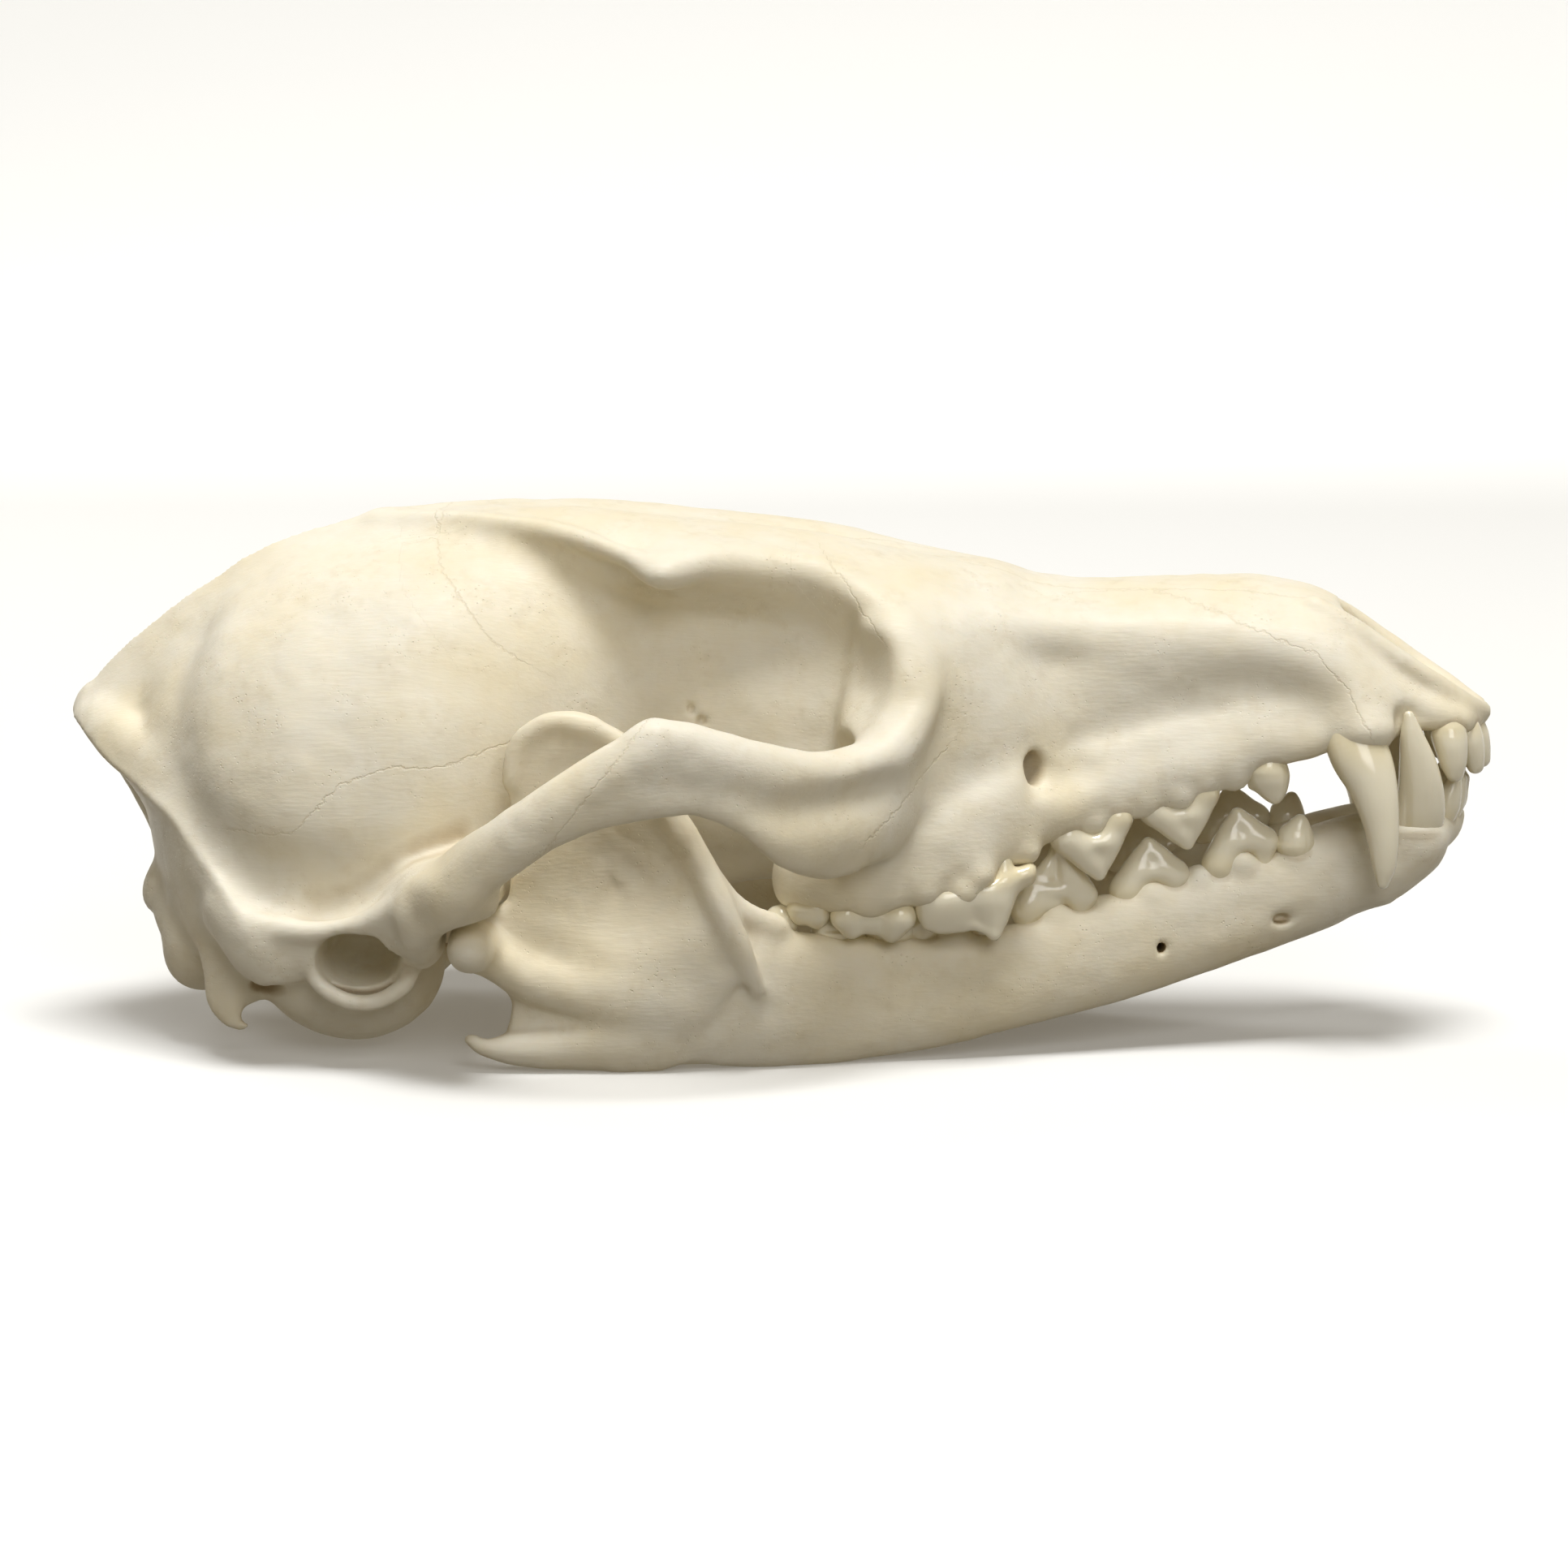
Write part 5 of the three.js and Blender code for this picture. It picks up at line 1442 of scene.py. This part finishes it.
@dataclass
class Tooth:
    """One tooth of the left side, with places in the skull's frame, in mm.

    lobes are where the crown swells over each root: x, y, z and a radius.
    cusps are the crown's points in order from front to rear: x, y, z and a radius.
    way is 1 for a lower tooth that stands up and -1 for an upper tooth that hangs.
    slim is the crown's breadth across the row as a share of its girth along it.
    root is how far the roots reach into the bone.
    blade gives stations of a long cutting crown: x, inner and outer y, lower edge, widest level and
    gum line.
    """

    lobes: Sequence[Row]
    cusps: Sequence[Row]
    way: int
    slim: float = 0.86
    root: float = 3.2
    blade: Sequence[Row] = ()

    def necks(self) -> list[Row]:
        """Give the places where the tooth leaves the bone."""
        return [(x, y, z - self.way * 0.6 * r, r) for x, y, z, r in self.lobes]

    def shape(self, step: float) -> tuple[np.ndarray, np.ndarray, dict[str, np.ndarray]]:
        """Shape the tooth on its own small block of clay.

        Args:
            step: the grid's spacing in mm.

        Returns:
            Its points in mm, its faces and the values that its finish reads.
        """
        lobes, cusps = np.asarray(self.lobes, dtype=float), np.asarray(self.cusps, dtype=float)
        places = np.vstack([lobes, cusps])
        low = (places[:, :3] - places[:, 3:]).min(axis=0) - 1.2
        high = (places[:, :3] + places[:, 3:]).max(axis=0) + 1.2
        if self.way > 0:
            low[2] -= self.root
        else:
            high[2] += self.root
        clay = Clay(tuple(low), tuple(high), step)
        for x, y, z, r in lobes:
            # Root, into the bone
            clay.add(0.7, Strand([
                (x, y, z, r, r * self.slim, r), (x, y, z - self.way * 0.9, r * 0.8, r * 0.74, 1),
                (x, y, z - self.way * self.root, r * 0.6, r * 0.6, 1),
            ]))
            # Flank, from the lobe to the nearest cusp in a slightly hollow line
            tip = cusps[np.argmin(np.abs(cusps[:, :2] - (x, y)).sum(axis=1))]
            foot = np.array([x, y, z])
            near = foot * 0.62 + tip[:3] * 0.38 - (0, 0, self.way * 0.32)
            far = foot * 0.28 + tip[:3] * 0.72 - (0, 0, self.way * 0.18)
            wide, slight = 0.92 * r + 0.1, 0.6 * r + 0.4 * tip[3]
            clay.add(0.9, Strand([
                (x, y, z, r, r * self.slim, r), (*near, wide, wide * self.slim, wide),
                (*far, slight, slight * self.slim, slight), (*tip[:3], tip[3], tip[3] * 0.9, tip[3]),
            ]))
        # Body of the crown, then the cutting edge that dips between the cusps
        heart = lobes[:, :3].mean(axis=0) * 0.7 + cusps[:, :3].mean(axis=0) * 0.3
        thick = lobes[:, 3].mean() * self.slim * 0.8 + np.ptp(lobes[:, 1]) * 0.22
        clay.add(1.4, Lump(tuple(heart), (np.ptp(lobes[:, 0]) * 0.26 + 0.8, thick, 1.0)))
        for first, second in zip(cusps[:-1], cusps[1:]):
            dip = (first + second) / 2
            dip[2] -= self.way * (0.3 + 0.16 * abs(first[2] - second[2]) + 0.07 * abs(first[0] - second[0]))
            clay.add(0.8, Strand([
                (*first[:3], first[3] * 0.8), (*dip[:3], 0.65), (*second[:3], second[3] * 0.8),
            ], fine=4))
            gum = (*dip[:2], lobes[:, 2].mean())
            clay.add(1.2, Strand([(*dip[:3], 0.7, 0.6, 0.7), (*gum, 1.7, 1.4, 1.4)], fine=3))
        if self.blade:
            clay.add(0.8, Loft(self.blade, over=2.2, under=1.55, caps=(0.9, 0.9)))
        points, faces = clay.surface()
        past_gum = (points[:, 2] - lobes[:, 2].mean()) * self.way
        # How far down in a crevice each point lies, for the enamel's grime and painted shade
        hollow = hollowness(points, point_normals(points, clay), clay, (0.5, 1.1))
        return points, faces, {"neck": np.clip(0.7 - past_gum * 0.35, 0, 1), "hollow": hollow}


@dataclass
class Fang:
    """A curved canine of the left side.

    stations are x, y, z and the radii along and across, from tip to root.
    neck_z is the height of its gum line, and way is as for a tooth.
    """

    stations: Sequence[Row]
    neck_z: float
    way: int

    def necks(self) -> list[Row]:
        """Find where the fang leaves the bone.

        Returns:
            One row: x, y, z and a radius.
        """
        x, y, z, along, across = min(self.stations, key=lambda s: abs(s[2] - self.neck_z))
        return [(x, y, self.neck_z - self.way * 0.4, (along + across) / 2)]

    def shape(self, step: float) -> tuple[np.ndarray, np.ndarray, dict[str, np.ndarray]]:
        """Shape the fang on its own block of clay.

        Args:
            step: the grid's spacing in mm.

        Returns:
            Its points in mm, its faces and the values that its finish reads.
        """
        cord = Strand([
            (x, y, z, along, across, max(along * 0.8, 0.5)) for x, y, z, along, across in self.stations
        ], fine=8)
        low, high = cord.span()
        clay = Clay(tuple(low - 1.2), tuple(high + 1.2), step)
        clay.add(0.3, cord)
        points, faces = clay.surface()
        past_gum = (points[:, 2] - self.neck_z) * self.way
        return points, faces, {
            "neck": np.clip(0.8 - past_gum * 0.16, 0, 1),
            "hollow": np.zeros(len(points), dtype=np.float32),
        }


@dataclass
class Dentition:
    """All teeth of both jaws, each shaped on the left and mirrored."""

    step: float  # spacing of the grid that each tooth is shaped on, in mm

    def upper(self) -> list[Tooth | Fang]:
        """Give the upper teeth of the left side, from the front.

        Returns:
            Three incisors, the canine, four premolars of which the last cuts, and two molars.
        """
        return [
            Tooth([(71.8, 1.7, 32.6, 1.35)], [(72.9, 1.7, 29.5, 0.85)], -1, 0.95, 1.4),
            Tooth([(70.9, 4.5, 32.7, 1.45)], [(71.9, 4.7, 29.3, 0.9)], -1, 0.95, 1.4),
            Tooth([(68.9, 6.8, 32.8, 1.75)], [(69.5, 7.5, 29, 1)], -1, 0.95, 1.6),
            Fang([
                (61.9, 12.9, 18.2, 0.6, 0.55), (62, 12.8, 20.4, 1.3, 1.05), (61.7, 12.6, 24, 1.8, 1.45),
                (60.8, 12.1, 28, 2.5, 1.85), (59.4, 11.1, 31.4, 3.15, 2.2), (58, 9.6, 35, 2.7, 1.9),
                (55.8, 7.6, 38, 2, 1.5),
            ], 31.4, -1),
            Tooth([(50.2, 9.8, 29.3, 1.95)], [(50.9, 9.9, 26.8, 0.8), (48.6, 9.8, 27.9, 0.6)], -1, 0.72),
            Tooth([(43.6, 10.5, 27.2, 1.5), (38.6, 10.9, 25.4, 1.6)], [(41.9, 10.8, 22, 0.6)], -1),
            Tooth([(34.6, 12.3, 24.8, 1.55), (29.5, 13.4, 22.9, 1.7)], [(32.8, 12.9, 19.1, 0.6)], -1),
            Tooth([(23, 17.6, 19, 1.5), (16.6, 19.2, 17.4, 1.5), (23.8, 14.8, 19.4, 1.3)],
                  [(22.1, 18.5, 13.8, 0.5), (16.4, 19.4, 14.7, 0.5)], -1, 0.9, 2, [
                      (14, 18.7, 20.2, 15.2, 16.8, 17.8), (15.4, 18, 20.8, 14.2, 17.2, 18.6),
                      (17.2, 17.7, 20.9, 13.9, 17.4, 19), (19, 17.6, 20.6, 14.1, 17.6, 19.2),
                      (20.2, 17.3, 20.2, 14.9, 17.8, 19.4), (21.3, 17, 20, 13.9, 18, 19.5),
                      (22.1, 16.7, 19.8, 13.2, 18.2, 19.7), (23.2, 16.3, 19.2, 15.4, 18.8, 20.1),
                      (24.6, 16, 18.6, 17.9, 19.4, 20.6), (25.8, 15.8, 18.2, 18.6, 19.8, 20.9),
                      (26.6, 15.9, 17.6, 19, 19.9, 20.6),
                  ]),
            Tooth([(12.4, 19.4, 15.7, 1.6), (7, 19.4, 15.7, 1.5), (9.6, 15, 16, 1.7)],
                  [(11.6, 19.2, 13.8, 0.8), (7.6, 19.2, 14.2, 0.8), (9.4, 14.8, 14.9, 0.9)], -1, 1.0),
            Tooth([(4, 18.4, 16, 1.3), (2.2, 18.2, 16.2, 1.1), (3, 15.6, 16.4, 1.2)],
                  [(4, 18.3, 14.9, 0.7), (2.2, 18.1, 15.3, 0.6), (3, 15.6, 15.6, 0.7)], -1, 1.0),
        ]

    def lower(self) -> list[Tooth | Fang]:
        """Give the lower teeth of the left side, from the front.

        Returns:
            Three incisors, the canine, four premolars, the cutting molar, its heel and two small molars.
        """
        return [
            Tooth([(70, 1.15, 24.6, 0.95)], [(71, 1.15, 27.4, 0.7)], 1, 0.9, 1.1),
            Tooth([(69.6, 3.1, 24.6, 1.05)], [(70.5, 3.1, 27.6, 0.75)], 1, 0.9, 1.1),
            Tooth([(68.8, 5, 24.7, 1.25)], [(69.7, 5.2, 27.7, 0.8)], 1, 0.9, 1.2),
            Fang([
                (64.5, 9.6, 35.2, 0.55, 0.5), (64.9, 9.4, 33, 1.25, 1), (65.6, 8.9, 30, 1.95, 1.5),
                (66, 8.3, 27, 2.4, 1.8), (65.9, 7.6, 24, 2.6, 1.9), (65, 6.6, 20.6, 2.2, 1.6),
                (63.4, 5.8, 17, 1.6, 1.3),
            ], 23, 1),
            Tooth([(53.4, 7.4, 21.4, 1.6)], [(53.7, 7.4, 23.8, 0.65), (52, 7.4, 22.8, 0.5)], 1, 0.74),
            Tooth([(49.9, 7.5, 21.6, 1.5), (45.3, 8, 19.2, 1.7)], [(47.2, 7.8, 24.5, 0.6)], 1),
            Tooth([(40.6, 8.9, 18.3, 1.6), (35.7, 9.6, 16.7, 1.7)], [(38, 9.3, 21.6, 0.6)], 1),
            Tooth([(31, 11, 16.4, 1.65), (25.5, 12, 15.3, 1.8)],
                  [(28.6, 11.4, 22, 0.6), (26.2, 11.8, 18.6, 0.6)], 1),
            Tooth([(21, 13.5, 14.6, 1.8), (14.6, 14.6, 13.9, 1.9)],
                  [(21, 13.4, 18.4, 0.7), (17, 13.8, 19.4, 0.7), (14.4, 13.6, 16.6, 0.6)], 1),
            Tooth([(12.4, 14.8, 13.5, 1.7), (10.6, 15, 13.4, 1.7)],
                  [(12.6, 15.8, 14.6, 0.6), (10.2, 15.8, 14.5, 0.6), (10.6, 14, 14.7, 0.55)], 1),
            Tooth([(7.4, 15.6, 13.5, 1.5), (4.8, 16.2, 13.7, 1.4)],
                  [(7.4, 16.5, 14.4, 0.6), (4.8, 16.9, 14.4, 0.6), (6.2, 15, 14.6, 0.5)], 1),
            Tooth([(0.4, 17.2, 14.6, 1.4)], [(0.6, 17.4, 15.7, 0.6), (-0.4, 17.2, 15.6, 0.55)], 1),
        ]

    def _join(
        self, name: str, teeth: Sequence[Tooth | Fang], enamel: bpy.types.Material
    ) -> bpy.types.Object:
        """Shape a row of teeth and its mirror image as one piece.

        Args:
            name: the piece's name.
            teeth: the left side's teeth.
            enamel: their finish.

        Returns:
            The piece.
        """
        points, faces, marks, start = [], [], {"neck": [], "hollow": []}, 0
        for tooth in teeth:
            own, sides, values = tooth.shape(self.step)
            corner = own[sides]
            normal = np.cross(corner[:, 1] - corner[:, 0], corner[:, 2] - corner[:, 0])
            middle = own.mean(axis=0)
            if float((normal * (corner[:, 0] - middle)).sum()) < 0:
                sides = sides[:, ::-1]
            for sign in (1, -1):
                points.append(own * np.array([1, sign, 1], dtype=np.float32))
                faces.append((sides if sign > 0 else sides[:, ::-1]) + start)
                start += len(own)
                for key in marks:
                    marks[key].append(values[key])
        joined = {key: np.concatenate(values) for key, values in marks.items()}
        piece = shape_mesh(name, np.vstack(points), np.vstack(faces), joined)
        piece.data.materials.append(enamel)
        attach(piece, "root")
        return piece

    def build(self, enamel: bpy.types.Material) -> list[bpy.types.Object]:
        """Shape and dress both rows.

        Args:
            enamel: their finish.

        Returns:
            The upper and the lower row.
        """
        return [
            self._join("upper_teeth", self.upper(), enamel),
            self._join("lower_teeth", self.lower(), enamel),
        ]


# Studio


@dataclass
class Studio:
    """White paper, soft lamps and the camera, which looks at the right side from a little above."""

    turn_deg: float = 2.0  # the camera's turn toward the snout
    lift_deg: float = 9.0  # and its lift over the level
    distance_mm: float = 550.0
    aim_mm: Point = (0.0, 0.0, 26.2)
    lens: float = 120.1
    flat: float = 1.1  # m, radius of the paper's flat part
    rise: float = 0.9  # m, radius of the bend that carries it up
    room: str = "#fff0d2"
    room_strength: float = 0.17
    skull: Point = (0.0, 0.0, 0.03)  # m, what the lamps point at

    def camera(self) -> bpy.types.Object:
        """Set the camera where the photograph was taken from.

        Returns:
            The camera.
        """
        turn, lift = math.radians(self.turn_deg), math.radians(self.lift_deg)
        way = Vector((math.sin(turn) * math.cos(lift), -math.cos(turn) * math.cos(lift), math.sin(lift)))
        aim = Vector(self.aim_mm) * MM
        data = bpy.data.cameras.new("camera")
        data.sensor_width = 36
        data.lens = self.lens
        data.clip_start = 0.01
        data.clip_end = 20
        made = bpy.data.objects.new("camera", data)
        bpy.context.scene.collection.objects.link(made)
        made.location = aim + way * self.distance_mm * MM
        made.rotation_euler = (-way).to_track_quat("-Z", "Y").to_euler()
        bpy.context.scene.camera = made
        return made

    def paper(self) -> bpy.types.Object:
        """Lay the paper and curve it up far behind the skull, on every side.

        Returns:
            The paper.
        """
        rings, sides = 40, 96
        turns = [2 * math.pi * k / sides for k in range(sides)]
        points, faces = [], []
        for i in range(rings + 1):
            share = i / rings
            if share < 0.5:
                radius, z = self.flat * share * 2, 0.0
            else:
                angle = (share - 0.5) * math.pi
                radius, z = self.flat + self.rise * math.sin(angle), self.rise * (1 - math.cos(angle))
            points += [(radius * math.cos(turn), radius * math.sin(turn), z) for turn in turns]
        for i in range(rings):
            for k in range(sides):
                a, b = i * sides + k, i * sides + (k + 1) % sides
                faces.append((a, a + sides, b + sides, b))
        # The first ring is a single point, so one round face closes the middle in its place
        mesh = bpy.data.meshes.new("paper")
        outer = [tuple(p - sides for p in face) for face in faces[sides:]]
        mesh.from_pydata(points[sides:], [], outer + [tuple(range(sides))])
        mesh.polygons.foreach_set("use_smooth", [True] * len(mesh.polygons))
        mesh.materials.append(StudioPaper().make())
        made = bpy.data.objects.new("paper", mesh)
        # No light bounces back up from the paper, so the skull's underside keeps its soft shade
        made.visible_diffuse = False
        bpy.context.scene.collection.objects.link(made)
        return made

    def lamp(self, name: str, place: Point, aim: Point, size: float, watts: float) -> None:
        """Hang a soft lamp.

        Args:
            name: the lamp's name.
            place: where it hangs, in metres.
            aim: what it points at, in metres.
            size: its side in metres.
            watts: its strength.
        """
        data = bpy.data.lights.new(name, "AREA")
        data.shape, data.size, data.energy = "SQUARE", size, watts
        made = bpy.data.objects.new(name, data)
        bpy.context.scene.collection.objects.link(made)
        made.location = place
        made.rotation_euler = (Vector(aim) - Vector(place)).to_track_quat("-Z", "Y").to_euler()

    def lights(self) -> None:
        """Hang the lamps and set the even light of the room."""
        # A broad key from high above, a weak fill from beside the camera and one for the far side
        self.lamp("key_lamp", (0.2, -0.55, 2.35), self.skull, 1.0, 50)
        self.lamp("fill_lamp", (0.25, -0.95, 0.55), self.skull, 0.5, 3.2)
        self.lamp("rear_lamp", (-0.5, 0.6, 0.7), self.skull, 0.5, 1.9)
        # A ring of lamps turned away from the skull lights the paper's upright part
        for turn in range(6):
            angle = math.radians(30 + 60 * turn)
            x, y = math.cos(angle), math.sin(angle)
            self.lamp(f"wall_lamp_{turn}", (0.8 * x, 0.8 * y, 0.5), (1.6 * x, 1.6 * y, 0.06), 0.4, 3)
        world = bpy.data.worlds.new("room")
        world.use_nodes = True
        sky = world.node_tree.nodes["Background"].inputs
        sky["Color"].default_value = linear(self.room)
        sky["Strength"].default_value = self.room_strength
        bpy.context.scene.world = world
        bpy.context.scene.view_settings.view_transform = "Standard"


def main() -> None:
    """Build the skull's pieces in order and report each."""
    logging.basicConfig(level=logging.INFO, format="%(message)s")
    studio = Studio()
    studio.camera()
    studio.paper()
    studio.lights()
    coarse = 1.0
    bone, enamel = CleanedBone().make(), ToothEnamel().make()
    teeth = Dentition(TOOTH_STEP * coarse)
    upper_necks = [neck for tooth in teeth.upper() for neck in tooth.necks()]
    lower_necks = [neck for tooth in teeth.lower() for neck in tooth.necks()]
    pieces = [Cranium(BONE_STEP * coarse).build(bone, upper_necks)]
    pieces += LowerJaw(BONE_STEP * coarse).build(bone, lower_necks)
    pieces += teeth.build(enamel)
    for piece in pieces:
        LOG.info("%s: %d faces", piece.name, len(piece.data.polygons))


if __name__ == "__main__":
    main()
